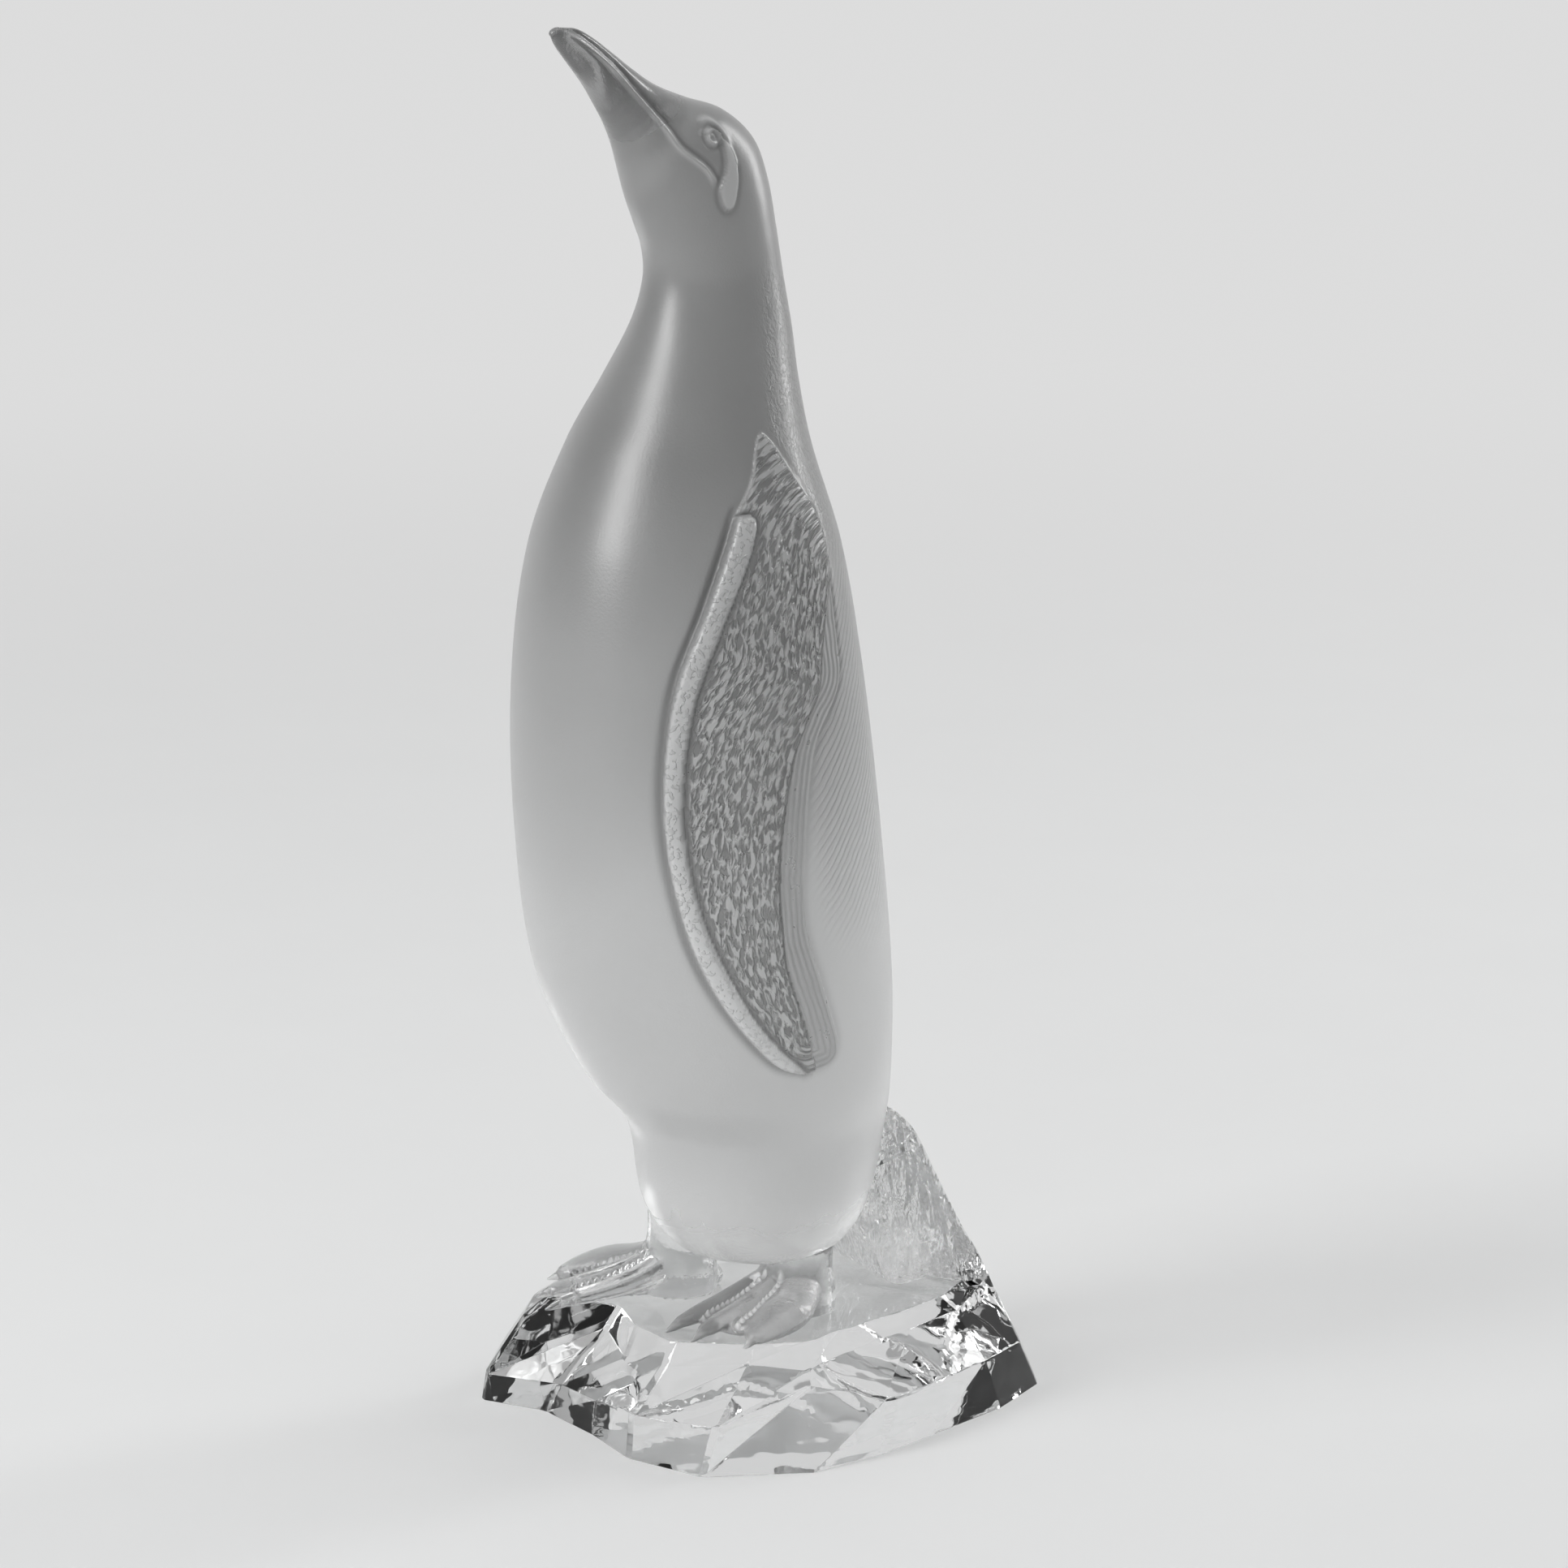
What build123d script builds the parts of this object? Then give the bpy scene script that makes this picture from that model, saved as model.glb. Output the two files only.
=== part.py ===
from build123d import *
from bisect import bisect
from math import cos, hypot, radians, sin, tau
import os

# A pressed crystal penguin on a block of cut ice, in millimetres.
# It faces -Y, its left side is +X, and Z = 0 is the surface it stands on.
# The real thing is one piece of glass: each node is one region of it, cut face to face.

# Driving dimensions
ice_length = 81.0
ice_width = 70.2
ice_height = 16.5
bird_height = 203.7
body_width = 60.0
body_depth = 56.0

# Relief heights above the body
flipper_relief = 1.1
rim_relief = 2.0
ear_relief = 0.6

# Key stations of the body: throat side (y, z), nape side (y, z) and half width.
# The y shares follow body_depth, the z shares bird_height above the ice, the last body_width.
trunk_station_shares = [
    ((-0.270, 0.049), (0.250, 0.049), 0.250),
    ((-0.325, 0.062), (0.302, 0.062), 0.292),
    ((-0.378, 0.150), (0.358, 0.150), 0.346),
    ((-0.495, 0.190), (0.360, 0.190), 0.412),
    ((-0.636, 0.272), (0.346, 0.272), 0.484),
    ((-0.694, 0.390), (0.303, 0.390), 0.498),
    ((-0.698, 0.508), (0.250, 0.508), 0.478),
    ((-0.650, 0.609), (0.190, 0.609), 0.420),
    ((-0.546, 0.685), (0.112, 0.685), 0.324),
    ((-0.445, 0.734), (0.086, 0.732), 0.252),
    ((-0.365, 0.776), (0.076, 0.770), 0.196),
    ((-0.332, 0.807), (0.055, 0.806), 0.172),
]
head_station_shares = [
    ((-0.336, 0.830), (0.030, 0.847), 0.170),
    ((-0.361, 0.849), (0.005, 0.883), 0.168),
    ((-0.389, 0.869), (-0.036, 0.912), 0.162),
    ((-0.412, 0.891), (-0.123, 0.933), 0.147),
    ((-0.432, 0.909), (-0.227, 0.943), 0.120),
    ((-0.459, 0.925), (-0.321, 0.954), 0.088),
]
bill_station_shares = [
    ((-0.487, 0.938), (-0.386, 0.966), 0.068),
    ((-0.528, 0.956), (-0.455, 0.981), 0.052),
    ((-0.573, 0.972), (-0.509, 0.992), 0.040),
    ((-0.612, 0.986), (-0.557, 0.999), 0.030),
    ((-0.627, 0.994), (-0.600, 1.000), 0.015),
]
section_points = 12
section_count = 40

# Two points of the gape line, which parts the two halves of the bill
gape_tip_share = (-0.600, 0.997)
gape_root_share = (-0.366, 0.940)

# Flipper outlines on the side of the body, (y, z) as shares of body_depth and bird_height
flipper_lead_shares = [
    (-0.296, 0.650),
    (-0.405, 0.587),
    (-0.500, 0.518),
    (-0.525, 0.430),
    (-0.475, 0.346),
    (-0.379, 0.285),
    (-0.234, 0.236),
    (-0.125, 0.222),
]
flipper_trail_shares = [
    (-0.125, 0.222),
    (-0.050, 0.229),
    (-0.039, 0.245),
    (-0.080, 0.276),
    (-0.160, 0.341),
    (-0.164, 0.403),
    (-0.125, 0.476),
    (-0.021, 0.518),
    (-0.014, 0.557),
    (-0.028, 0.635),
    (-0.088, 0.671),
    (-0.175, 0.704),
    (-0.235, 0.672),
    (-0.296, 0.650),
]
rim_inner_shares = [
    (-0.125, 0.222),
    (-0.239, 0.253),
    (-0.330, 0.288),
    (-0.430, 0.350),
    (-0.482, 0.430),
    (-0.455, 0.510),
    (-0.375, 0.570),
    (-0.250, 0.640),
    (-0.296, 0.650),
]

# Eye and the raised ear patch behind it, on the side of the head
eye_radius = 1.3
eye_place_share = (-0.224, 0.918)
ear_outline_shares = [
    (-0.210, 0.922),
    (-0.172, 0.908),
    (-0.160, 0.892),
    (-0.165, 0.878),
    (-0.180, 0.866),
    (-0.205, 0.866),
    (-0.219, 0.879),
    (-0.200, 0.893),
    (-0.197, 0.905),
]

# Tail, a fan of feather blades from the small of the back down to the ice
tail_blades = 5
tail_width = 25.0
tail_top_width = 11.0
tail_reach = 35.0
tail_blade_step = 0.9
tail_tip_thickness = 1.6
tail_gap = 1.6
tail_root_height = 28.5
tail_root_reach = 17.0
tail_core_reach = 12.0
# The back of the tail from its tip to its root: shares of the reach past the core and of the height
tail_back_shares = [(0.83, 0.28), (0.67, 0.57), (0.52, 0.84), (0.30, 1.00)]

# Feet
ankle_radius = 7.0
ankle_waist_radius = 5.8
ankle_height = 13.5
foot_length = 23.0
foot_width = 18.0
foot_heel = 6.0
instep_height = 5.5
web_edge = 1.0
toe_radius = 2.5
toe_tip_radius = 1.3
claw_length = 2.2
claw_tip_radius = 0.4
foot_splay = 20.0
left_ankle_x = 7.8
left_ankle_y = 2.5
right_ankle_x = -9.2
right_ankle_y = -9.0
# Web outline: shares of foot_length forward and of foot_width to the outside
web_shares = [
    (-0.24, -0.10),
    (-0.10, -0.26),
    (0.20, -0.28),
    (0.62, -0.37),
    (0.90, -0.38),
    (0.81, -0.20),
    (0.90, -0.05),
    (0.73, 0.14),
    (0.75, 0.34),
    (0.48, 0.46),
    (0.02, 0.34),
    (-0.24, 0.12),
]
toe_end_shares = [(0.88, -0.33), (0.88, -0.05), (0.72, 0.30)]

# The block of ice, by spokes from the floor outline over the rim to the shoulder.
# Shares of half the block's width, half its length, and its height.
ice_spoke_shares = [
    ((-0.53, -1.00, 0.00), (-0.50, -0.93, 0.27), (-0.43, -0.74, 0.80)),
    ((-0.26, -0.84, 0.00), (-0.20, -0.80, 0.30), (-0.16, -0.60, 0.80)),
    ((0.11, -0.80, 0.00), (0.10, -0.78, 0.33), (0.12, -0.66, 0.72)),
    ((0.44, -0.80, 0.00), (0.41, -0.77, 0.43), (0.40, -0.62, 0.82)),
    ((0.80, -0.65, 0.00), (0.80, -0.59, 0.46), (0.62, -0.36, 0.86)),
    ((1.00, -0.26, 0.00), (0.80, -0.17, 0.68), (0.72, -0.14, 0.76)),
    ((0.97, 0.05, 0.00), (0.95, 0.09, 0.53), (0.66, 0.06, 0.83)),
    ((0.88, 0.34, 0.00), (0.86, 0.36, 0.52), (0.60, 0.38, 0.86)),
    ((0.75, 0.72, 0.00), (0.73, 0.66, 0.50), (0.50, 0.66, 0.87)),
    ((0.57, 1.00, 0.00), (0.58, 0.91, 0.48), (0.27, 0.93, 0.97)),
    ((0.00, 0.98, 0.00), (-0.05, 0.95, 0.47), (-0.16, 0.89, 0.96)),
    ((-0.57, 0.89, 0.00), (-0.57, 0.84, 0.50), (-0.48, 0.71, 0.92)),
    ((-0.91, 0.54, 0.00), (-0.86, 0.50, 0.42), (-0.71, 0.40, 0.85)),
    ((-1.00, 0.05, 0.00), (-0.94, 0.02, 0.50), (-0.77, 0.00, 0.88)),
    ((-0.94, -0.42, 0.00), (-0.89, -0.40, 0.42), (-0.76, -0.35, 0.88)),
    ((-0.77, -0.79, 0.00), (-0.72, -0.74, 0.36), (-0.63, -0.60, 0.84)),
]
# The flat top: how far towards each shoulder it reaches from its middle
ice_top_share = 0.92
ice_top_middle_share = (-0.06, 0.07)


def place(share_pair):
    """A point of the symmetry plane as (y, z), from its shares."""
    return share_pair[0] * body_depth, ice_height + share_pair[1] * bird_height


def cross_plane(lower, upper):
    """The plane through two points (y, z) of the symmetry plane, square to that plane."""
    first, last = Vector(0, *lower), Vector(0, *upper)
    across = Vector(1, 0, 0)
    return Plane(origin=(first + last) / 2, x_dir=across, z_dir=across.cross(last - first))


def station_between(run):
    """The station at a run along the bird from its legs, eased from one key station to the next."""
    last = len(key_runs) - 1
    after = min(max(bisect(key_runs, run), 1), last)
    before = after - 1
    span = key_runs[after] - key_runs[before]
    along = (run - key_runs[before]) / span
    numbers = []
    for index in range(5):
        start, end = key_numbers[before][index], key_numbers[after][index]
        slopes = []
        for key in (before, after):
            low, high = max(key - 1, 0), min(key + 1, last)
            rise = key_numbers[high][index] - key_numbers[low][index]
            slopes.append(rise / (key_runs[high] - key_runs[low]) * span)
        curve = 3 * (end - start) - 2 * slopes[0] - slopes[1]
        twist = 2 * (start - end) + slopes[0] + slopes[1]
        numbers.append(start + along * (slopes[0] + along * (curve + along * twist)))
    return numbers


def body_section(run, growth=0):
    """The rounded section at a run along the bird, grown outwards all round."""
    throat_y, throat_z, nape_y, nape_z, half_width = station_between(run)
    half_depth = hypot(nape_y - throat_y, nape_z - throat_z) / 2 + growth
    half_width += growth
    turns = [tau * step / section_points for step in range(section_points)]
    with BuildSketch(cross_plane((throat_y, throat_z), (nape_y, nape_z))) as section:
        with BuildLine():
            Spline([(half_width * cos(turn), half_depth * sin(turn)) for turn in turns], periodic=True)
        make_face()
    return section.sketch


def skin(first_run, last_run, growth=0):
    """A smooth loft through even sections of the bird between two runs."""
    count = max(round(section_count * (last_run - first_run) / key_runs[-1]), 3)
    step = (last_run - first_run) / (count - 1)
    with BuildPart() as lofted:
        loft([body_section(first_run + step * index, growth) for index in range(count)])
    return lofted


def side_prism(curves, side):
    """A prism along X on one side of the bird, whose outline is a closed chain of smooth curves."""
    with BuildPart() as prism:
        with BuildSketch(Plane.YZ):
            with BuildLine():
                for curve in curves:
                    Spline([place(pair) for pair in curve])
            make_face()
        extrude(amount=side * body_width)
    return prism.part


def ice_point(shares):
    """A corner of the ice, from its three shares."""
    return Vector(shares[0] * ice_width / 2, shares[1] * ice_length / 2, shares[2] * ice_height)


def flat_face(*corners):
    """A flat face through its corners."""
    return Face(Wire.make_polygon(corners, close=True))


def keep(piece, name):
    """Label a finished piece and write it."""
    piece.part.label = name
    export_step(piece.part, f"parts/{name}.step")


os.makedirs("parts", exist_ok=True)

# The whole bird from legs to bill tip, and the same skin grown where the raised regions stand
key_stations = trunk_station_shares + head_station_shares + bill_station_shares
key_numbers = [(*place(throat), *place(nape), wide * body_width) for throat, nape, wide in key_stations]
key_runs = [0]
for earlier, later in zip(key_numbers, key_numbers[1:]):
    climb = hypot(later[0] + later[2] - earlier[0] - earlier[2], later[1] + later[3] - earlier[1] - earlier[3])
    key_runs.append(key_runs[-1] + climb / 2)
belly_run, shoulder_run = key_runs[2], key_runs[9]
neck_run, bill_run = key_runs[10], key_runs[17]
bird = skin(key_runs[0], key_runs[-1])
flipper_skin = skin(belly_run, shoulder_run, flipper_relief)
rim_skin = skin(belly_run, shoulder_run, rim_relief)
ear_skin = skin(neck_run, bill_run, ear_relief)

neck_cut = cross_plane(place(trunk_station_shares[-1][0]), place(trunk_station_shares[-1][1]))
bill_cut = cross_plane(place(head_station_shares[-1][0]), place(head_station_shares[-1][1]))
gape_cut = cross_plane(place(gape_root_share), place(gape_tip_share))

with BuildPart() as body:
    add(bird.part)
    split(bisect_by=neck_cut, keep=Keep.BOTTOM)
keep(body, "body")

with BuildPart() as head:
    add(bird.part)
    split(bisect_by=neck_cut, keep=Keep.TOP)
    split(bisect_by=bill_cut, keep=Keep.BOTTOM)
keep(head, "head")

for half, half_name in ((Keep.TOP, "lower_bill"), (Keep.BOTTOM, "upper_bill")):
    with BuildPart() as bill_half:
        add(bird.part)
        split(bisect_by=bill_cut, keep=Keep.TOP)
        split(bisect_by=gape_cut, keep=half)
    keep(bill_half, half_name)

for side, side_name in ((1, "left"), (-1, "right")):
    rim_prism = side_prism([flipper_lead_shares, rim_inner_shares], side)
    with BuildPart() as rim:
        add(rim_skin.part)
        add(rim_prism, mode=Mode.INTERSECT)
        add(bird.part, mode=Mode.SUBTRACT)
    keep(rim, f"{side_name}_flipper_rim")

    with BuildPart() as flipper:
        add(flipper_skin.part)
        add(side_prism([flipper_lead_shares, flipper_trail_shares], side), mode=Mode.INTERSECT)
        add(rim_prism, mode=Mode.SUBTRACT)
        add(bird.part, mode=Mode.SUBTRACT)
    keep(flipper, f"{side_name}_flipper")

    with BuildPart() as eye_rod:
        with BuildSketch(Plane.YZ):
            with Locations(place(eye_place_share)):
                Circle(eye_radius)
        extrude(amount=side * body_width)

    with BuildPart() as ear_patch:
        add(ear_skin.part)
        add(side_prism([ear_outline_shares + ear_outline_shares[:1]], side), mode=Mode.INTERSECT)
        add(eye_rod.part, mode=Mode.SUBTRACT)
        add(bird.part, mode=Mode.SUBTRACT)
    keep(ear_patch, f"{side_name}_ear_patch")

    with BuildPart() as eye:
        add(ear_skin.part)
        add(eye_rod.part, mode=Mode.INTERSECT)
        add(bird.part, mode=Mode.SUBTRACT)
    keep(eye, f"{side_name}_eye")

# Tail: side profiles side by side, the middle blade the longest, drawn in towards the root
blade_width = tail_width / tail_blades
with BuildPart() as tail:
    for blade in range(tail_blades):
        from_middle = blade - (tail_blades - 1) / 2
        reach = tail_reach - tail_blade_step * abs(from_middle) - tail_core_reach
        tip = (tail_core_reach + reach, ice_height)
        back = [
            (tail_core_reach + reach * along, ice_height + tail_root_height * up)
            for along, up in tail_back_shares
        ]
        with BuildSketch(Plane.YZ.offset(from_middle * blade_width)):
            with BuildLine():
                Line(tip, (tip[0], tip[1] + tail_tip_thickness))
                Spline([(tip[0], tip[1] + tail_tip_thickness)] + back)
                Polyline(
                    back[-1],
                    (tail_core_reach, back[-1][1]),
                    (tail_core_reach, ice_height + tail_root_height / 2),
                    (tail_root_reach, ice_height + tail_gap),
                    (tip[0] - tail_gap, ice_height + tail_gap),
                    tip,
                )
            make_face()
        extrude(amount=blade_width / 2, both=True)
    for side in (1, -1):
        foot_corner = Vector(side * tail_width / 2, 0, ice_height)
        root_corner = Vector(side * tail_top_width / 2, 0, ice_height + tail_root_height)
        slope = root_corner - foot_corner
        split(bisect_by=Plane(origin=foot_corner, z_dir=Vector(0, side, 0).cross(slope)), keep=Keep.BOTTOM)
    add(bird.part, mode=Mode.SUBTRACT)
keep(tail, "tail")

# Feet: a webbed wedge with three toes and claws, under a waisted ankle
foot_places = (
    (1, "left_foot", left_ankle_x, left_ankle_y),
    (-1, "right_foot", right_ankle_x, right_ankle_y),
)
for side, foot_name, ankle_x, ankle_y in foot_places:
    heading = Vector(side * sin(radians(foot_splay)), -cos(radians(foot_splay)), 0)
    sole = Plane(origin=(ankle_x, ankle_y, ice_height), x_dir=heading, z_dir=(0, 0, 1))
    web_outline = [(ahead * foot_length, side * out * foot_width) for ahead, out in web_shares]
    instep = sole.from_local_coords(Vector(-foot_heel, 0, instep_height))
    toe_edge = sole.from_local_coords(Vector(foot_length, 0, web_edge))
    slope = toe_edge - instep
    with BuildPart() as foot:
        with BuildSketch(sole):
            with BuildLine():
                Spline(web_outline, periodic=True)
            make_face()
        extrude(amount=instep_height)
        split(bisect_by=Plane(origin=instep, z_dir=slope.cross(sole.y_dir)), keep=Keep.BOTTOM)
        for ahead, out in toe_end_shares:
            knuckle = sole.from_local_coords(Vector(0, 0, instep_height - toe_radius))
            toe_end = sole.from_local_coords(Vector(ahead * foot_length, side * out * foot_width, toe_tip_radius))
            toe = toe_end - knuckle
            with Locations(Plane(origin=knuckle, z_dir=toe)):
                Cone(toe_radius, toe_tip_radius, toe.length, align=(Align.CENTER, Align.CENTER, Align.MIN))
            with Locations(toe_end):
                Sphere(toe_tip_radius)
            claw = Vector(toe.X, toe.Y, 0).normalized() * claw_length
            with Locations(Plane(origin=toe_end, z_dir=claw)):
                Cone(
                    toe_tip_radius,
                    claw_tip_radius,
                    claw_length,
                    align=(Align.CENTER, Align.CENTER, Align.MIN),
                )
        split(bisect_by=sole, keep=Keep.TOP)
        with BuildSketch(sole):
            Circle(ankle_waist_radius)
        with BuildSketch(sole.offset(ankle_height)):
            Circle(ankle_radius)
        loft()
        add(bird.part, mode=Mode.SUBTRACT)
    keep(foot, foot_name)

# Ice: flat facets between the spokes, the floor outline below and the flat top above
rings = [[ice_point(spoke[level]) for spoke in ice_spoke_shares] for level in range(3)]
top_middle = ice_point((*ice_top_middle_share, 1))
rings.append([
    Vector(
        top_middle.X + (corner.X - top_middle.X) * ice_top_share,
        top_middle.Y + (corner.Y - top_middle.Y) * ice_top_share,
        ice_height,
    )
    for corner in rings[2]
])
facets = [flat_face(*rings[0]), flat_face(*rings[-1])]
for lower, upper in zip(rings, rings[1:]):
    for spoke in range(len(ice_spoke_shares)):
        facets.append(flat_face(lower[spoke - 1], lower[spoke], upper[spoke]))
        facets.append(flat_face(lower[spoke - 1], upper[spoke], upper[spoke - 1]))
with BuildPart() as ice:
    add(Solid(Shell(facets)))
keep(ice, "ice_base")
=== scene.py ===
from math import cos, pi, radians, sin, tau

import bmesh
import bpy
import numpy as np
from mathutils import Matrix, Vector
from mathutils.bvhtree import BVHTree


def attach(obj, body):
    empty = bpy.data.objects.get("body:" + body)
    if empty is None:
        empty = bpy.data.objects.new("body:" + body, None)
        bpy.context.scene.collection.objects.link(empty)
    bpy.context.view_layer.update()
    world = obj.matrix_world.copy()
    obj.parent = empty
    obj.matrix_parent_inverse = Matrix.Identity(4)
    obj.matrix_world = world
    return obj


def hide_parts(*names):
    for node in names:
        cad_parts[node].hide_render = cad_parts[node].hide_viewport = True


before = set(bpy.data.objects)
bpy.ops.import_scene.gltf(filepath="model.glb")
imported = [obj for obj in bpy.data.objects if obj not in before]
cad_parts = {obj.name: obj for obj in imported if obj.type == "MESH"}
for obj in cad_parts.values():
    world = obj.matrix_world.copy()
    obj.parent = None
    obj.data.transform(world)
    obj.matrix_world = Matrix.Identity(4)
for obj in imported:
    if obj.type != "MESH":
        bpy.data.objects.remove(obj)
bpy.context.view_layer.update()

# A satin crystal penguin on a block of clear ice. Shapes are in millimetres until a mesh is made.
# Materials, lamps, the stage and the camera are in metres.
MM = 0.001

ICE_TOP = 16.5
BIRD_HEIGHT = 203.7
BODY_WIDTH = 60.0
BODY_DEPTH = 56.0

# Key stations of the bird: throat y and z, nape y and z, half width, as shares of depth, height and width
TRUNK = [
    (-0.120, 0.036, 0.120, 0.036, 0.120),
    (-0.240, 0.048, 0.230, 0.048, 0.220),
    (-0.330, 0.082, 0.310, 0.082, 0.296),
    (-0.378, 0.150, 0.358, 0.150, 0.346),
    (-0.495, 0.190, 0.360, 0.190, 0.412),
    (-0.636, 0.272, 0.346, 0.272, 0.484),
    (-0.694, 0.390, 0.303, 0.390, 0.498),
    (-0.698, 0.508, 0.250, 0.508, 0.478),
    (-0.650, 0.609, 0.190, 0.609, 0.420),
    (-0.546, 0.685, 0.112, 0.685, 0.324),
    (-0.445, 0.734, 0.086, 0.732, 0.252),
    (-0.365, 0.776, 0.076, 0.770, 0.196),
    (-0.332, 0.807, 0.055, 0.806, 0.172),
]
HEAD = [
    (-0.336, 0.830, 0.030, 0.847, 0.170),
    (-0.361, 0.849, 0.005, 0.883, 0.168),
    (-0.389, 0.869, -0.036, 0.912, 0.162),
    (-0.412, 0.891, -0.123, 0.933, 0.147),
    (-0.432, 0.909, -0.227, 0.943, 0.120),
    (-0.459, 0.925, -0.321, 0.954, 0.088),
]
BILL = [
    (-0.487, 0.938, -0.386, 0.966, 0.068),
    (-0.528, 0.956, -0.455, 0.981, 0.052),
    (-0.573, 0.972, -0.509, 0.992, 0.040),
    (-0.612, 0.986, -0.557, 0.999, 0.030),
    (-0.627, 0.994, -0.600, 1.000, 0.015),
]
GAPE_TIP = (-0.600, 0.997)
GAPE_ROOT = (-0.366, 0.940)

# Outlines on the side of the bird, (y, z) as shares of depth and height
FLIPPER_LEAD = [
    (-0.296, 0.650), (-0.405, 0.587), (-0.500, 0.518), (-0.525, 0.430),
    (-0.475, 0.346), (-0.379, 0.285), (-0.234, 0.236), (-0.125, 0.222),
]
FLIPPER_TRAIL = [
    (-0.125, 0.222), (-0.050, 0.229), (-0.039, 0.245), (-0.080, 0.276), (-0.160, 0.341),
    (-0.164, 0.403), (-0.125, 0.476), (-0.021, 0.518), (-0.014, 0.557), (-0.028, 0.635),
    (-0.088, 0.671), (-0.175, 0.704), (-0.235, 0.672), (-0.296, 0.650),
]
RIM_INNER = [
    (-0.125, 0.222), (-0.239, 0.253), (-0.330, 0.288), (-0.430, 0.350), (-0.482, 0.430),
    (-0.455, 0.510), (-0.375, 0.570), (-0.250, 0.640), (-0.296, 0.650),
]
EAR_OUTLINE = [
    (-0.210, 0.922), (-0.172, 0.908), (-0.160, 0.892), (-0.165, 0.878), (-0.180, 0.866),
    (-0.205, 0.866), (-0.219, 0.879), (-0.200, 0.893), (-0.197, 0.905), (-0.210, 0.922),
]
EYE_PLACE = (-0.224, 0.918)
EYE_RADIUS = 1.3

# Lines drawn on the side of the bird, (y, z)
BAND_LINE = [
    (-1.0, 139.0), (-4.1, 130.4), (-5.9, 122.2), (-8.9, 117.2), (-11.3, 112.0), (-13.4, 101.0),
    (-13.7, 91.2), (-12.8, 81.8), (-10.9, 75.6), (-8.0, 68.0),
]
GAPE_LINE = [
    (-33.5, 219.6), (-31.2, 218.3), (-26.9, 214.6), (-22.5, 209.2), (-19.6, 205.0), (-18.0, 202.3),
    (-15.7, 200.3), (-13.8, 198.5), (-12.4, 195.6),
]
BROW_LINE = [(-14.6, 205.4), (-12.7, 205.9), (-10.9, 204.6), (-9.7, 202.2), (-9.0, 199.6)]

# How far the raised parts stand up, and over what width their edges round over
FLIPPER_RELIEF, FLIPPER_EDGE = 1.1, 0.8
RIM_RELIEF, RIM_EDGE = 2.0, 1.4
EAR_RELIEF, EAR_EDGE = 0.6, 0.55
BAND_DROP = 0.3  # share by which the rear band of the flipper lies lower
TOP_FADE, TOP_FADE_HEIGHT = 0.6, (143, 156)  # the flipper sinks towards its top
GAPE_RELIEF, GAPE_THINNING = 0.34, 0.2
# Lines along an edge: place of the middle from it (inside is positive), width, and height or strength
CARVED = {
    "rim": (0, 0.6, 0.45), "band": (0, 0.35, 0.3), "flipper": (-0.55, 0.55, 1), "ear": (-0.4, 0.4, 0.16),
    "lip": (-0.1, 0.42, 1), "gape": (0.85, 0.45, 1.1), "brow": (0, 0.5, 0.26),
    "eye_ring": (0.95, 0.3, 0.5), "pupil": (0, 0.42, 0.42), "eye": (1.65, 0.35, 0.22),
}
# Lines of painted shade
SHADED = {
    "flipper": (-0.5, 0.45, 1), "rim": (-0.2, 0.5, 1), "band": (0, 0.3, 0.8),
    "gape": (0.9, 0.5, 1), "ear": (-0.4, 0.4, 0.6), "eye": (1.65, 0.35, 0.6),
}
# Lines of painted highlight
LIT = {"eye_ring": (0.95, 0.3, 0.7), "brow": (0, 0.5, 0.8), "lip": (-0.1, 0.4, 0.6)}
# The rim and the ear patch are painted paler over these depths, as painted highlights
RIM_LIGHT, EAR_LIGHT = (0.15, 0.5), (0.1, 0.5)  # depths over which these turn pale
EYE_REACH = 3  # lines round the eye end here
# Heights over which a pattern comes in and goes out
HATCH_HEIGHTS = ((76, 100), (138, 150))
NAPE_HEIGHTS = ((136, 146), (176, 186))
BARE_EDGE, BARE_EDGE_WIDER, BARE_EDGE_HEIGHT = 0.05, 0.55, (136, 146)
SLANT = 0.9  # how steeply the hatching runs down from the back

FAR = 99.0
ROW_SPACING = 0.42
COLUMN_TURNS = ((-47, 41, 126), (41, 139, 50), (-133, -47, 44))  # side, back and front, in degrees


def place(pairs):
    """Points (y, z) in millimetres, from their shares."""
    pairs = np.array(pairs, float)
    return np.stack([pairs[..., 0] * BODY_DEPTH, ICE_TOP + pairs[..., 1] * BIRD_HEIGHT], -1)


def slopes_curve(start, end, leave, arrive, along):
    """Points between a start and an end, with the given slopes at both."""
    curve = 3 * (end - start) - 2 * leave - arrive
    twist = 2 * (start - end) + leave + arrive
    return start + along * (leave + along * (curve + along * twist))


def smooth_line(points, steps=14):
    """A curve through points, each stretch divided into steps."""
    points = np.array(points, float)
    padded = np.vstack([2 * points[0] - points[1], points, 2 * points[-1] - points[-2]])
    along = np.linspace(0, 1, steps, endpoint=False)[:, None]
    runs = [
        slopes_curve(start, end, (end - before) / 2, (after - start) / 2, along)
        for before, start, end, after in zip(padded, padded[1:], padded[2:], padded[3:])
    ]
    return np.vstack(runs + [points[-1:]])


def line_distance(points, line):
    """For each point: its distance to an open line, the side it lies on, and how far along it is."""
    start, step = line[:-1], np.diff(line, axis=0)
    length = np.hypot(*step.T)
    before = np.concatenate([[0], np.cumsum(length)[:-1]])
    best = np.full(len(points), np.inf)
    side, run = np.zeros(len(points)), np.zeros(len(points))
    for index in range(len(start)):
        offset = points - start[index]
        part = np.clip(offset @ step[index] / length[index] ** 2, 0, 1)
        far = np.hypot(*(offset - part[:, None] * step[index]).T)
        nearer = far < best
        best[nearer] = far[nearer]
        cross = step[index][0] * offset[:, 1] - step[index][1] * offset[:, 0]
        side[nearer] = np.sign(cross)[nearer]
        run[nearer] = (before[index] + part * length[index])[nearer]
    return best, side, run


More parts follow.
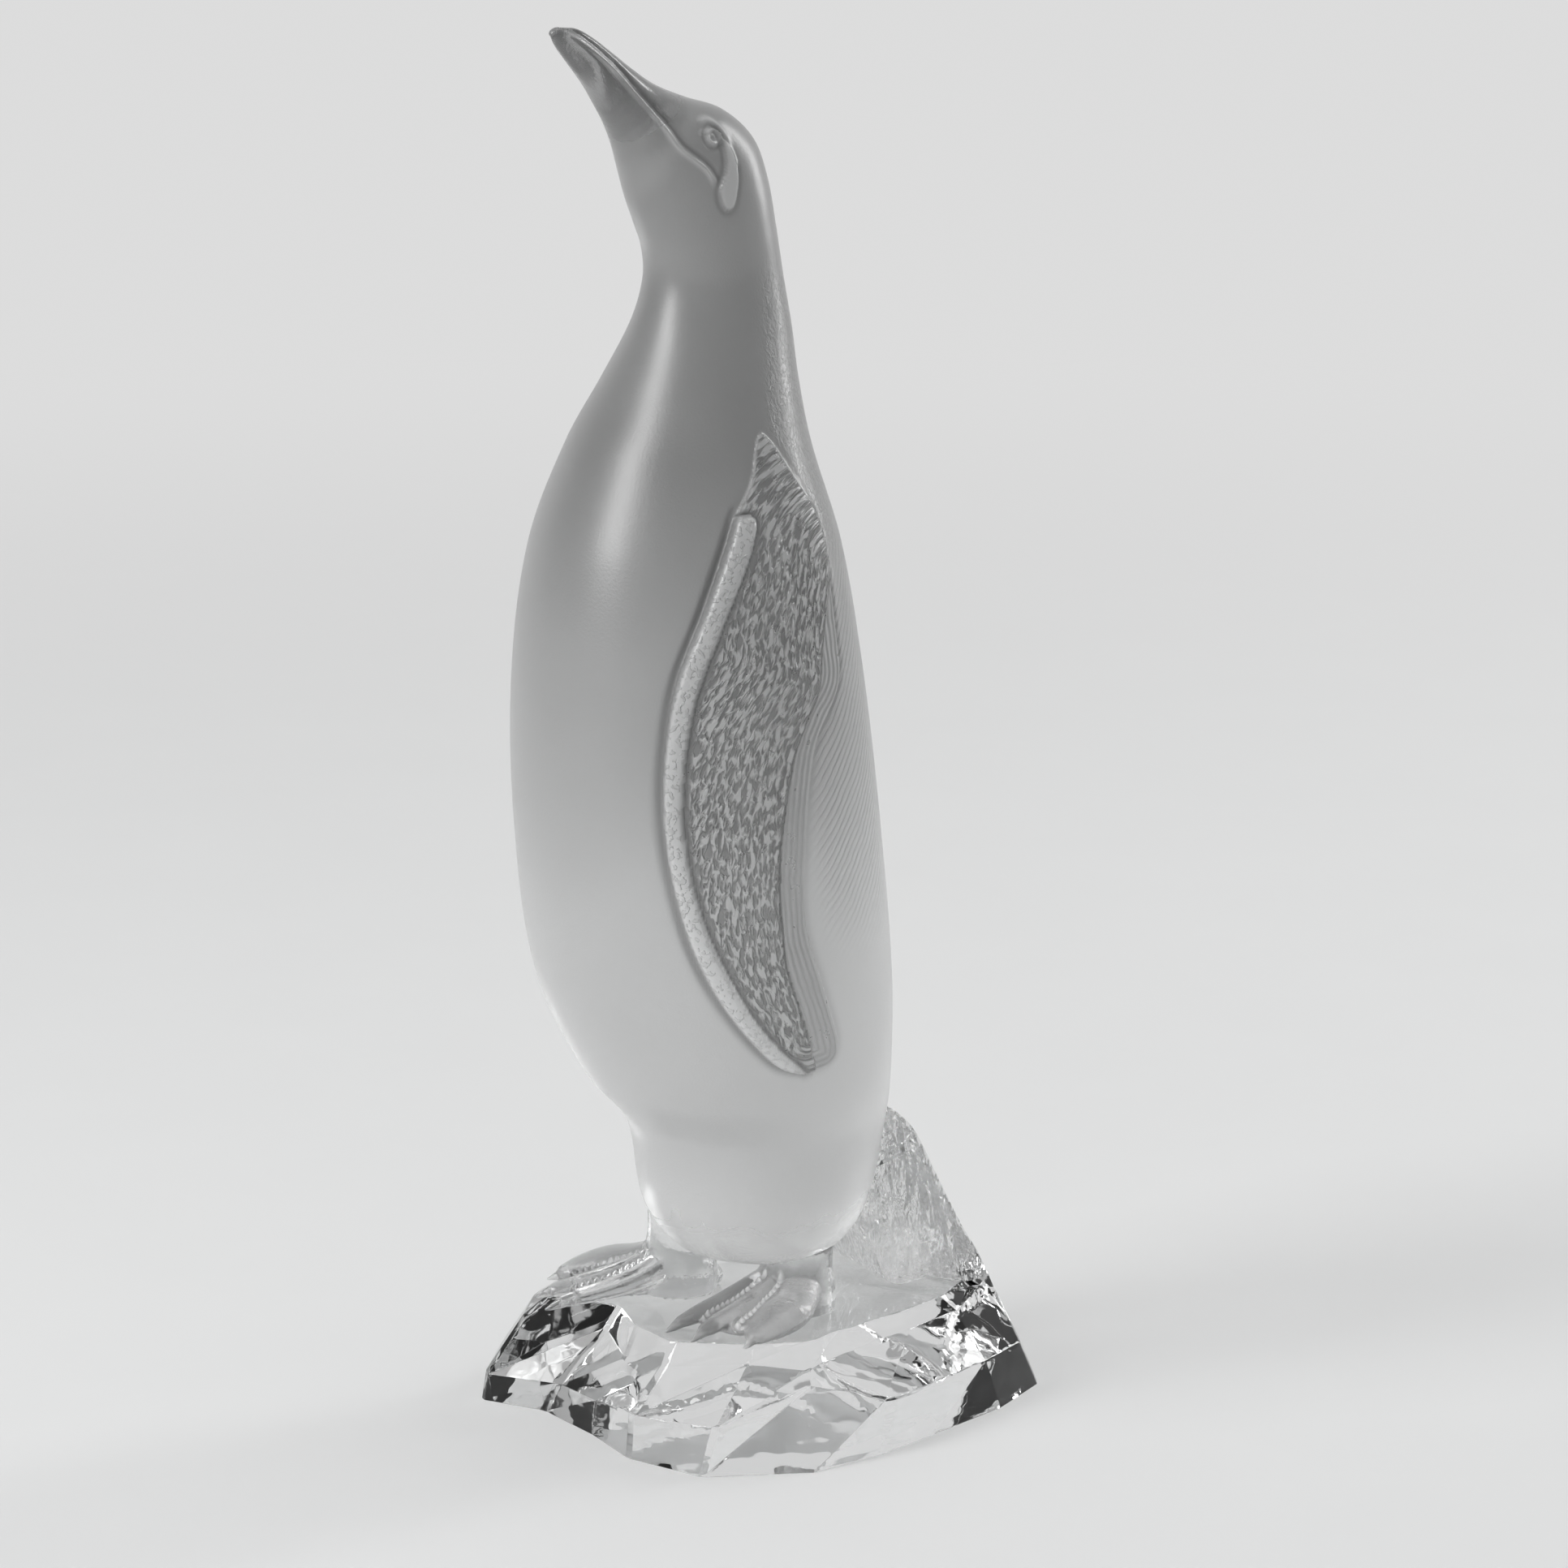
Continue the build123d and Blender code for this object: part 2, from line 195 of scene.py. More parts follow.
def inside(points, outline):
    """True for each point inside a closed outline."""
    result = np.zeros(len(points), bool)
    for (y0, z0), (y1, z1) in zip(outline, np.roll(outline, -1, axis=0)):
        if z0 != z1:
            crosses = (z0 > points[:, 1]) != (z1 > points[:, 1])
            result ^= crosses & (points[:, 0] < (y1 - y0) * (points[:, 1] - z0) / (z1 - z0) + y0)
    return result


def depth_inside(points, outline, reach=3):
    """Distance to a closed outline, positive inside it. Points past its reach get a large negative one."""
    depth = np.full(len(points), -FAR)
    near = ((points > outline.min(0) - reach) & (points < outline.max(0) + reach)).all(1)
    closed = np.vstack([outline, outline[:1]])
    closed = closed[np.concatenate([[True], np.hypot(*np.diff(closed, axis=0).T) > 1e-9])]
    far, _, _ = line_distance(points[near], closed)
    depth[near] = np.where(inside(points[near], outline), far, -far)
    return depth


def rounded(depth, width):
    """0 at an edge, rising to 1 over a width like a quarter circle."""
    return np.sqrt(1 - (1 - np.clip(depth / width, 0, 1)) ** 2)


def eased(value, start, end):
    """0 before start, 1 after end, and smooth between."""
    share = np.clip((value - start) / (end - start), 0, 1)
    return share * share * (3 - 2 * share)


def eased_down(value, start, end):
    """1 before start, 0 after end, and smooth between."""
    return eased(-value, -end, -start)


def bell(distance, width):
    """1 on a line, falling away over a width."""
    return np.exp(-((distance / width) ** 2))


def drawn(distance, line):
    """The height or strength of a line at each distance."""
    middle, width, height = line
    return height * bell(distance - middle, width)


def spread(start, end):
    """Even values from start to end, about one row apart."""
    return np.linspace(start, end, max(int(round((end - start) / ROW_SPACING)), 2) + 1)


# The skin of the bird as a grid of sections

keys = np.array(TRUNK + HEAD + BILL)
throats, napes = place(keys[:, 0:2]), place(keys[:, 2:4])
key_numbers = np.column_stack([throats, napes, keys[:, 4] * BODY_WIDTH])
middles = (throats + napes) / 2
key_runs = np.concatenate([[0], np.cumsum(np.hypot(*np.diff(middles, axis=0).T))])
neck_run, bill_run, tip_run = key_runs[len(TRUNK) - 1], key_runs[len(TRUNK) + len(HEAD) - 1], key_runs[-1]


def stations(runs):
    """The five numbers of a section at each run along the bird."""
    last = len(key_runs) - 1
    after = np.clip(np.searchsorted(key_runs, runs, side="right"), 1, last)
    before = after - 1
    span = (key_runs[after] - key_runs[before])[:, None]
    slopes = []
    for key in (before, after):
        low, high = np.maximum(key - 1, 0), np.minimum(key + 1, last)
        slopes.append((key_numbers[high] - key_numbers[low]) / (key_runs[high] - key_runs[low])[:, None] * span)
    along = (runs - key_runs[before])[:, None] / span
    return slopes_curve(key_numbers[before], key_numbers[after], *slopes, along)


body_runs = spread(0, neck_run)
head_runs = spread(neck_run, bill_run)[1:]
bill_runs = spread(bill_run, tip_run)[1:]
runs = np.concatenate([body_runs, head_runs, bill_runs])
neck_row, bill_row = len(body_runs) - 1, len(body_runs) + len(head_runs) - 1

# Columns stand closer together at the sides, where the flippers are
side_turns, back_turns, front_turns = (np.linspace(*turns) for turns in COLUMN_TURNS)
turns = np.radians(
    np.concatenate([side_turns, back_turns[1:-1], 180 - side_turns[::-1], 360 + front_turns[1:-1]])
)
rows, columns = len(runs), len(turns)

numbers = stations(runs)
middle = (numbers[:, 0:2] + numbers[:, 2:4]) / 2
reach = numbers[:, 2:4] - numbers[:, 0:2]
half_depth = np.hypot(*reach.T) / 2
direction = reach / (2 * half_depth)[:, None]
skin = np.zeros((rows, columns, 3))
skin[..., 0] = numbers[:, 4, None] * np.cos(turns)
for axis in (0, 1):
    skin[..., axis + 1] = middle[:, axis, None] + (half_depth * direction[:, axis])[:, None] * np.sin(turns)


def grid_normals(grid):
    """The outward direction at each point of a grid of sections."""
    around = (np.roll(grid, -1, axis=1) - np.roll(grid, 1, axis=1)) / 2
    outward = np.cross(around, np.gradient(grid, axis=0))
    return (outward / np.linalg.norm(outward, axis=2, keepdims=True)).reshape(-1, 3)


base = skin.reshape(-1, 3)
count = len(base)
arc = np.linalg.norm(np.roll(skin, -1, axis=1) - skin, axis=2)
arc = np.concatenate([np.zeros((rows, 1)), np.cumsum(arc, axis=1)[:, :-1]], axis=1)
back_column = np.argmin(np.abs(turns - pi / 2))
back_arc = np.abs(arc - arc[:, back_column, None]).reshape(-1)
side_view = base[:, 1:]
height = base[:, 2]

# Relief on the skin

lead_line = smooth_line(place(FLIPPER_LEAD))
flipper_outline = np.vstack([lead_line[:-1], smooth_line(place(FLIPPER_TRAIL))[:-1]])
rim_outline = np.vstack([lead_line[:-1], smooth_line(place(RIM_INNER))[:-1]])
ear_outline = smooth_line(place(EAR_OUTLINE))[:-1]

on_trunk = (np.arange(rows) <= neck_row).repeat(columns)
on_head = ~on_trunk
flipper_depth = np.where(on_trunk, depth_inside(side_view, flipper_outline), -FAR)
rim_depth = np.where(on_trunk, depth_inside(side_view, rim_outline), -FAR)
ear_depth = np.where(on_trunk, -FAR, depth_inside(side_view, ear_outline))
eye_distance = np.where(on_trunk, FAR, np.hypot(*(side_view - place(EYE_PLACE)).T))
lead_distance, _, _ = line_distance(side_view, lead_line)
band_distance, band_side, _ = line_distance(side_view, smooth_line(BAND_LINE))
gape_distance, gape_side, gape_run = line_distance(side_view, smooth_line(GAPE_LINE))
gape_offset = gape_distance * gape_side
brow_distance, _, brow_run = line_distance(side_view, smooth_line(BROW_LINE))

on_flipper = flipper_depth > 0
on_band = (band_side > 0) & on_flipper
by_rim = on_flipper & (rim_depth < 0)
near_eye = eye_distance < EYE_REACH
top_fade = 1 - TOP_FADE * eased(height, *TOP_FADE_HEIGHT)
lead_fade = (2 * top_fade - 1).clip(0.1)
gape_fade = eased(gape_run.max() - gape_run, 0, 3) * eased(gape_run, 0, 2)
brow_fade = eased(brow_run, 0, 1.5)

panel_height = FLIPPER_RELIEF * top_fade * (1 - BAND_DROP * (on_band * eased(band_distance, 0, 0.5)))
# The line round the flipper is deeper along its leading edge
groove = (0.28 + 0.3 * (lead_distance < -flipper_depth + 0.3)) * lead_fade
beside_flipper = (flipper_depth < 0) & (flipper_depth > -3)
beside_ear = (ear_depth < 0) & (ear_depth > -1.4)
bill_share = eased(np.arange(rows), bill_row, rows - 1).repeat(columns)
gape_height = (GAPE_RELIEF - GAPE_THINNING * bill_share) * gape_fade
in_eye_ring = drawn(eye_distance, CARVED["eye_ring"]) + drawn(eye_distance, CARVED["pupil"])
relief = on_flipper * panel_height * rounded(flipper_depth, FLIPPER_EDGE)
relief += (rim_depth > 0) * (RIM_RELIEF - FLIPPER_RELIEF) * rounded(rim_depth, RIM_EDGE)
relief -= by_rim * drawn(rim_depth, CARVED["rim"])
relief -= (flipper_depth > 0.6) * drawn(band_distance, CARVED["band"])
relief -= beside_flipper * groove * drawn(flipper_depth, CARVED["flipper"])
relief += (ear_depth > 0) * EAR_RELIEF * rounded(ear_depth, EAR_EDGE)
relief -= beside_ear * drawn(ear_depth, CARVED["ear"])
relief += on_head * gape_height * drawn(gape_offset, CARVED["lip"])
relief -= on_head * gape_height * drawn(gape_offset, CARVED["gape"])
relief += (on_head & (ear_depth < 0.3)) * brow_fade * drawn(brow_distance, CARVED["brow"])
relief += (eye_distance < EYE_RADIUS) * in_eye_ring
relief -= near_eye * drawn(eye_distance, CARVED["eye"])
carved = base + grid_normals(skin) * relief[:, None]
carved_normal = grid_normals(carved.reshape(rows, columns, 3))

# What the surface patterns, the painted highlights and the painted shade follow, kept on the points

behind = np.sin(np.tile(turns, rows))
off_flipper = eased(-flipper_depth, 0.4, 1.6)
# Painted shade in the line round the flipper, darker along its leading edge
lead_shade = 0.35 + 0.65 * (lead_distance < 0.6 - flipper_depth)
# Painted shade in the lines beside the flipper, the rim, the band line, the gape, the ear patch and the eye
shadows = (flipper_depth < 0) * drawn(flipper_depth, SHADED["flipper"]) * lead_shade * lead_fade
shadows += by_rim * drawn(rim_depth, SHADED["rim"])
shadows += (flipper_depth > 0.5) * drawn(band_distance, SHADED["band"])
shadows += on_head * drawn(gape_offset, SHADED["gape"]) * gape_fade
shadows += (ear_depth < 0) * drawn(ear_depth, SHADED["ear"])
shadows += near_eye * drawn(eye_distance, SHADED["eye"])
# Painted highlights: the rim, the ear patch, the ring round the eye, the brow and the lip are painted paler
lights = eased(rim_depth, *RIM_LIGHT) + 0.75 * eased(ear_depth, *EAR_LIGHT)
lights += near_eye * drawn(eye_distance, LIT["eye_ring"])
lights += on_head * brow_fade * drawn(brow_distance, LIT["brow"])
lights += on_head * gape_fade * drawn(gape_offset, LIT["lip"])
margin = BARE_EDGE + BARE_EDGE_WIDER * eased_down(height, *BARE_EDGE_HEIGHT)
marks = {
    "panel": eased(flipper_depth - margin, 0, 0.5) * eased(-rim_depth, 0.3, 0.9) * (1 - on_band),
    "band": eased(flipper_depth, 0.3, 0.8) * on_band * eased(band_distance, 0.2, 0.6),
    "across": np.where(on_band, flipper_depth, band_distance),
    "hatch": off_flipper * eased(behind, 0.05, 0.3),
    "nape": off_flipper * eased(behind, 0.1, 0.5),
    "slant": height + SLANT * back_arc,
    "bead": eased(rim_depth, *RIM_LIGHT),
    # The next two marks are painted light: paler where highlights would fall, and painted shade in the lines
    # beside the raised parts
    "painted_highlight": np.clip(lights, 0, 1),
    "groove": np.clip(shadows, 0, 1),
    "polish": eased(runs, bill_run - 7, bill_run + 3).repeat(columns),
}
for name, (coming, going) in (("hatch", HATCH_HEIGHTS), ("nape", NAPE_HEIGHTS)):
    marks[name] *= eased(height, *coming) * eased_down(height, *going)

# Each face of the skin belongs to one region

corner = np.arange(count).reshape(rows, columns)
quads = np.stack([corner[:-1], np.roll(corner, -1, 1)[:-1], np.roll(corner, -1, 1)[1:], corner[1:]], -1)
quads = quads.reshape(-1, 4)
face_row = np.arange(rows - 1).repeat(columns)
face_left = base[quads].mean(1)[:, 0] > 0
in_rim = rim_depth[quads].mean(1) > 0
in_flipper = (flipper_depth[quads].mean(1) > 0) & ~in_rim
in_eye = eye_distance[quads].mean(1) < EYE_RADIUS
in_ear = (ear_depth[quads].mean(1) > 0) & ~in_eye
whole = np.where(face_row < neck_row, "body", np.where(face_row < bill_row, "head", "bill")).astype("<U20")
region = whole.copy()
PATCHES = {
    "flipper": (in_flipper, "body"), "flipper_rim": (in_rim, "body"),
    "ear_patch": (in_ear, "head"), "eye": (in_eye, "head"),
}
for side_name, on_side in (("left", face_left), ("right", ~face_left)):
    for part, (in_part, owner) in PATCHES.items():
        region[in_part & on_side & (region == owner)] = f"{side_name}_{part}"

# Materials. Noise scales are per metre.

GLASS_INDEX = 1.52
COOL = 1.006  # how much more green and blue than red a grey holds
LIGHT_THROUGH = 0.6  # share of a lamp's light that etched glass lets through
CLEAR, POLISHED = 0.98, 0.06  # transmission and roughness where etched glass turns clear
SATIN_CLEAR, SATIN_ROUGHNESS, SATIN_TONES = 0.62, 0.33, (0.29, 0.72)
FEATHER_CLEAR = 0.5
GRAIN, GRAIN_DEPTH = 2600, 0.00006
ETCHED_FROM = (0.030, 0.042)  # heights over which the lower end of the body turns from clear to etched
# Painted light: the body's grey is painted paler low down, where light comes up from the ice
PAINTED_LIGHT_HEIGHTS = (0.06, 0.165)  # the body turns darker from the lower to the upper one
LEG_HEIGHTS = (0.0240, 0.0290)  # the leg turns clear from the lower to the upper one
HATCH_SPACING, BAND_SPACING = 1.5, 0.95


class Net:
    """A new material and short calls for wiring it. Inputs are given by name or number."""

    def __init__(self, name):
        self.material = bpy.data.materials.new(name)
        self.material.use_nodes = True
        self.tree = self.material.node_tree
        self.tree.nodes.clear()
        self.where = self.new("ShaderNodeTexCoord").outputs["Object"]

    def new(self, kind, inputs=None, **settings):
        node = self.tree.nodes.new(kind)
        for key, value in settings.items():
            setattr(node, key, value)
        return self.fill(node, inputs or {})

    def fill(self, node, inputs):
        for key, value in inputs.items():
            if hasattr(value, "node"):
                self.tree.links.new(value, node.inputs[key])
            else:
                node.inputs[key].default_value = value
        return node

    def math(self, operation, *values):
        return self.new("ShaderNodeMath", dict(enumerate(values)), operation=operation).outputs[0]

    def times(self, first, second):
        return self.math("MULTIPLY", first, second)

    def scaled(self, value, factor, offset):
        """A value times a factor, plus an offset."""
        return self.math("MULTIPLY_ADD", value, factor, offset)

    def wave(self, value, spacing):
        return self.math("SINE", self.times(value, tau / spacing))

    def stretch(self, scale):
        return self.new("ShaderNodeMapping", {"Vector": self.where, "Scale": scale}).outputs[0]

    def noise(self, scale, detail=2.0, distortion=0.0, vector=None):
        inputs = {"Scale": scale, "Detail": detail, "Distortion": distortion}
        inputs["Vector"] = self.where if vector is None else vector
        return self.new("ShaderNodeTexNoise", inputs).outputs["Fac"]

    def ramp(self, value, start, end, low=0.0, high=1.0):
        inputs = {"Value": value, "From Min": start, "From Max": end, "To Min": low, "To Max": high}
        return self.new("ShaderNodeMapRange", inputs, interpolation_type="SMOOTHSTEP").outputs["Result"]

    def mark(self, name):
        return self.new("ShaderNodeAttribute", attribute_name=name).outputs["Fac"]

    def height(self):
        return self.new("ShaderNodeSeparateXYZ", {0: self.where}).outputs["Z"]

    def relief(self, shader, *layers):
        """Bumps on a shader, one on top of the other, each a value, its depth and its strength."""
        below = {}
        for value, depth, strength in layers:
            inputs = {"Height": value, "Distance": depth, "Strength": strength, **below}
            below = {"Normal": self.new("ShaderNodeBump", inputs).outputs["Normal"]}
        self.fill(shader, below)

    def blend(self, share, *colours):
        """A colour between two, each a grey or the output of another blend."""
        inputs = {"Factor": share}
        for key, colour in zip((6, 7), colours):
            inputs[key] = (colour, colour * COOL, colour * COOL, 1) if isinstance(colour, float) else colour
        return self.new("ShaderNodeMix", inputs, data_type="RGBA").outputs[2]

    def coated(self, colour, *coats):
        """A colour with greys laid over it, each with the share that it covers."""
        for share, tone in coats:
            colour = self.blend(share, colour, tone)
        return colour

    def surface(self, share, first, second):
        """Show a mix of two shaders."""
        mixed = self.new("ShaderNodeMixShader", {0: share, 1: first.outputs[0], 2: second.outputs[0]})
        self.new("ShaderNodeOutputMaterial", {"Surface": mixed.outputs[0]})


def crystal(name, transmission, shade=LIGHT_THROUGH):
    """The nodes of a glass and its shader; the caller adds colour, roughness and relief.

    The rays that look for a lamp go through, weaker, so the floor under the glass is lit.
    """
    net = Net(name)
    shader = net.new("ShaderNodeBsdfPrincipled", {"Transmission Weight": transmission, "IOR": GLASS_INDEX})
    passing = net.new("ShaderNodeBsdfTransparent", {"Color": (shade, shade, shade, 1)})
    net.surface(net.new("ShaderNodeLightPath").outputs["Is Shadow Ray"], shader, passing)
    return net, shader


def satin_crystal():
    """Etched glass, clear at the lower end, its grey painted paler low down as painted light. Stipple,
    hatching, dots, painted highlights and painted shade follow the marks.
    """
    net, shader = crystal("satin_crystal", SATIN_CLEAR)
    stipple = net.ramp(net.noise(1700, vector=net.stretch((1, 1, 0.7))), 0.4, 0.6)
    stipple = net.times(stipple, net.mark("nape"))
    slant = net.scaled(net.noise(160), 1.6, net.mark("slant"))
    lines = net.times(net.ramp(net.wave(slant, HATCH_SPACING), -0.6, 0.8), net.mark("hatch"))
    dots = net.times(net.ramp(net.noise(1300, 1), 0.52, 0.62), net.mark("bead"))
    grain = (net.noise(GRAIN), GRAIN_DEPTH, 0.6)
    net.relief(shader, grain, (stipple, 0.00014, 1), (lines, 0.00028, 1), (dots, 0.00022, 1))

    height = net.height()
    ragged = net.scaled(net.noise(130, 1), 0.009, height)
    etched = net.math("SUBTRACT", net.ramp(ragged, *ETCHED_FROM), net.times(net.mark("polish"), 0.6))
    soft = net.scaled(net.noise(220, 3), 0.06, SATIN_ROUGHNESS - 0.09)
    # Patchy tone, with painted light: the grey is paler low on the body and darker higher up
    tone_and_painted_light = net.scaled(net.noise(26), 0.45, net.ramp(height, *PAINTED_LIGHT_HEIGHTS, 0.9, 0.0))
    marked = net.scaled(dots, 0.5, net.scaled(lines, 0.55, stipple))
    colour = net.coated(
        net.blend(net.math("SUBTRACT", tone_and_painted_light, 0.12), *SATIN_TONES),
        # Painted highlights on the rim, the ear patch, the eye ring, the brow and the lip
        (net.times(net.mark("painted_highlight"), 0.8), 0.88),
        (net.times(marked, 0.4), 0.26),
        # Painted shade in the lines beside the raised parts
        (net.times(net.mark("groove"), 0.8), 0.12),
        (net.ramp(ragged, *ETCHED_FROM, 1.0, 0.0), 0.82),
    )
    net.fill(shader, {
        "Base Color": colour,
        "Roughness": net.scaled(etched, soft, POLISHED),
        "Transmission Weight": net.scaled(etched, SATIN_CLEAR - CLEAR, CLEAR),
        "Coat Weight": 0.6,
        "Coat Roughness": 0.33,
    })
    return net.material


def feathered_crystal():
    """Etched glass pressed with short wavy strokes along the flipper, and fine lines on its rear band."""
    net, shader = crystal("feathered_crystal", FEATHER_CLEAR)
    panel, across = net.mark("panel"), net.mark("across")
    along = net.new("ShaderNodeCombineXYZ", {0: across, 1: net.times(net.height(), 340.0)}).outputs[0]
    strokes = net.ramp(net.noise(1.7, 1.5, 0.6, along), 0.38, 0.60)
    lines = net.wave(net.scaled(net.noise(240, 1), 0.7, across), BAND_SPACING)
    lines = net.times(lines, net.mark("band"))
    grain = (net.noise(GRAIN), GRAIN_DEPTH, 0.35)
    net.relief(shader, grain, (net.times(strokes, panel), 0.0007, 1), (lines, 0.00010, 1))
    colour = net.coated(
        net.blend(strokes, 0.09, 0.68),
        (net.times(net.noise(90), 0.7), 0.44),
        (net.math("SUBTRACT", 1.0, panel), 0.50),
        (net.times(lines, 0.45), 0.26),
        # Painted shade in the lines round the flipper and along its band
        (net.times(net.mark("groove"), 0.8), 0.10),
    )
    net.fill(shader, {"Base Color": colour, "Roughness": net.scaled(net.noise(500, 3), 0.16, 0.22)})
    return net.material


def clear_crystal(name, dark, pale, rough, wavy, shade, strokes=0.0):
    """Polished glass, faintly wavy as pressed glass is, with feather strokes where it has them."""
    net, shader = crystal(name, 1.0, shade)
    layers = [(net.noise(70), wavy, 1)]
    if strokes:
        layers.append((net.noise(520, distortion=0.5, vector=net.stretch((1, 1, 0.32))), strokes, 1))
    net.relief(shader, *layers)
    net.fill(shader, {
        "Base Color": net.blend(net.noise(90, 3), dark, pale),
        "Roughness": net.scaled(net.noise(260, 3), rough, rough * 0.4),
    })
    return net.material


def foot_crystal(name, clear, dark, pale):
    """Glass that is etched on the toes and clear on the legs, with beaded lines between the toes that carry
    painted highlights and painted shade.
    """
    net, shader = crystal(name, clear)
    net.relief(shader, (net.noise(70), 0.0003, 1), (net.noise(1500), 0.00008, 1))
    ragged = net.scaled(net.noise(260, 3), 0.003, net.height())
    leg = net.math("MAXIMUM", net.ramp(ragged, *LEG_HEIGHTS), net.mark("leg"))
    rough = 0.36 - 0.2 * clear
    toes = net.blend(net.noise(240, 3), dark, pale)
    # Painted shade beside the lines between the toes, painted highlights on their beads and the lower edge
    toes = net.coated(toes, (net.mark("groove"), 0.12), (net.mark("painted_highlight"), 0.95), (leg, 0.86))
    net.fill(shader, {
        "Base Color": toes,
        "Roughness": net.scaled(leg, POLISHED - rough, rough),
        "Transmission Weight": net.scaled(leg, CLEAR - clear, clear),
    })
    return net.material


def joint_surface():
    """Where two regions of the one casting meet nothing bends the light."""
    net = Net("index_matched_joint")
    passing = net.new("ShaderNodeBsdfTransparent")
    net.new("ShaderNodeOutputMaterial", {"Surface": passing.outputs[0]})
    return net.material


satin = satin_crystal()
feathered = feathered_crystal()
ice_glass = clear_crystal("ice_crystal", 0.86, 0.96, 0.03, 0.0002, 0.55)
tail_glass = clear_crystal("tail_crystal", 0.74, 0.90, 0.06, 0.0003, 0.68, strokes=0.0014)
near_foot_glass = foot_crystal("foot_crystal", 0.62, 0.32, 0.50)
far_foot_glass = foot_crystal("clear_foot_crystal", 0.92, 0.66, 0.84)
joint = joint_surface()

# Building pieces

MOST_HITS = 40
NEARLY_UP = Vector((0.013, 0.007, 1)).normalized()


def loose(name, data):
    thing = bpy.data.objects.new(name, data)
    bpy.context.collection.objects.link(thing)
    return thing


def values_of(items, key, width=1, kind=np.int32):
    """What each item of a mesh holds under a key, as an array."""
    values = np.zeros(len(items) * width, kind)
    items.foreach_get(key, values)
    return values.reshape(-1, width) if width > 1 else values


def finish_piece(name, mesh, material, angle=None):
    """A piece in place of the node of its name. Faces of material 1 become joints."""
    chosen = values_of(mesh.polygons, "material_index")
    mesh.materials.clear()
    mesh.materials.append(material)
    mesh.materials.append(joint)
    mesh.polygons.foreach_set("material_index", chosen)
    mesh.polygons.foreach_set("use_smooth", np.ones(len(chosen), bool))
    mesh.name = name + "_glass"
    piece = loose(name + "_glass", mesh)
    if angle:
        mesh.set_sharp_from_angle(angle=radians(angle))
    mesh.update()
    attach(piece, "root")
    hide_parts(name)


def add_marks(mesh, values_by_name):
    """Keep values on the points of a mesh, for its material."""
    for name, values in values_by_name.items():
        attribute = mesh.attributes.new(name, "FLOAT", "POINT")
        attribute.data.foreach_set("value", values.astype(np.float32))


def shape_of(mesh):
    shape = bmesh.new()
    shape.from_mesh(mesh)
    return shape


def into_mesh(shape, mesh):
    shape.to_mesh(mesh)
    shape.free()
    return mesh


def cut(shape, point, across, **settings):
    """Cut a shape along a plane, and return the edges of the cut."""
    everything = shape.verts[:] + shape.edges[:] + shape.faces[:]
    found = bmesh.ops.bisect_plane(shape, geom=everything, plane_co=point, plane_no=across, **settings)
    return [item for item in found["geom_cut"] if isinstance(item, bmesh.types.BMEdge)]


def close_cut(shape, edges):
    """Fill a cut with joint faces."""
    for item in bmesh.ops.triangle_fill(shape, edges=edges, use_beauty=True)["geom"]:
        if isinstance(item, bmesh.types.BMFace):
            item.material_index = 1


def tree_of(mesh):
    shape = shape_of(mesh)
    tree = BVHTree.FromBMesh(shape)
    shape.free()
    return tree


def within(tree, point):
    """True for a point in a closed mesh, where an odd number of its surfaces lie above the point."""
    hits, start = 0, point.copy()
    while hits < MOST_HITS:
        hit = tree.ray_cast(start, NEARLY_UP)[0]
        if hit is None:
            break
        hits += 1
        start = hit + NEARLY_UP * 1e-6
    return hits % 2 == 1


# The regions of the skin. Point numbers run over the carved skin, the bare skin and the added points.

FLOOR_DOME, FLOOR_ROUNDS = 0.6, 10
TIP_DOME, TIP_ROUNDS = 0.7, 5

extra = []


def add_point(point):
    extra.append(point)
    return 2 * count + len(extra) - 1


def turned(faces):
    """The same faces, looking the other way."""
    return [face[::-1] for face in faces]


def fan(ring, centre):
    """Triangles from a ring to its centre."""
    return [(ring[index - 1], ring[index], centre) for index in range(len(ring))]


def dome(ring, tip, rounds):
    """A cap over a ring that rounds over to its tip."""
    ring_points = carved[ring]
    centre = ring_points.mean(0)
    faces, lower = [], list(ring)
    for index in range(1, rounds):
        turn = index / rounds * pi / 2
        level = centre + (ring_points - centre) * cos(turn) + (np.array(tip) - centre) * sin(turn)
        upper = [add_point(point) for point in level]
        faces += [(lower[a - 1], lower[a], upper[a], upper[a - 1]) for a in range(len(ring))]
        lower = upper
    return faces + fan(lower, add_point(tip))


patch_names = [f"{side}_{part}" for side in ("left", "right") for part in PATCHES]
patched = np.isin(region, patch_names)
beside = np.zeros(count, bool)
beside[quads[~patched].ravel()] = True
# A face with every corner at the edge of its patch has no thickness, so the skin around it takes it
leaf = patched & beside[quads].all(1)
region[leaf] = whole[leaf]
patched &= ~leaf


def parted(faces):
    """Faces as lists, cut in two where a diagonal would join two corners at the edge of a patch."""
    result = []
    for a, b, c, d in faces.tolist():
        if beside[a] and beside[c]:
            result += [[b, c, d], [b, d, a]]
        elif beside[b] and beside[d]:
            result += [[a, b, c], [a, c, d]]
        else:
            result.append([a, b, c, d])
    return result


def under(faces):
    """The same faces on the bare skin, joined to the carved skin at the edge of the patches."""
    return [[index if beside[index] else index + count for index in face] for face in parted(faces)]


def patch_faces(name):
    """The carved faces of a patch, and the bare ones under it with the walls that join the two."""
    faces = quads[region == name]
    sides = [(face[index], face[(index + 1) % 4]) for face in faces.tolist() for index in range(4)]
    known = set(sides)
    walls = [
        [second, first] + [index + count for index in (first, second) if not beside[index]]
        for first, second in sides
        if (second, first) not in known and not (beside[first] and beside[second])
    ]
    return parted(faces), turned(under(faces)) + walls


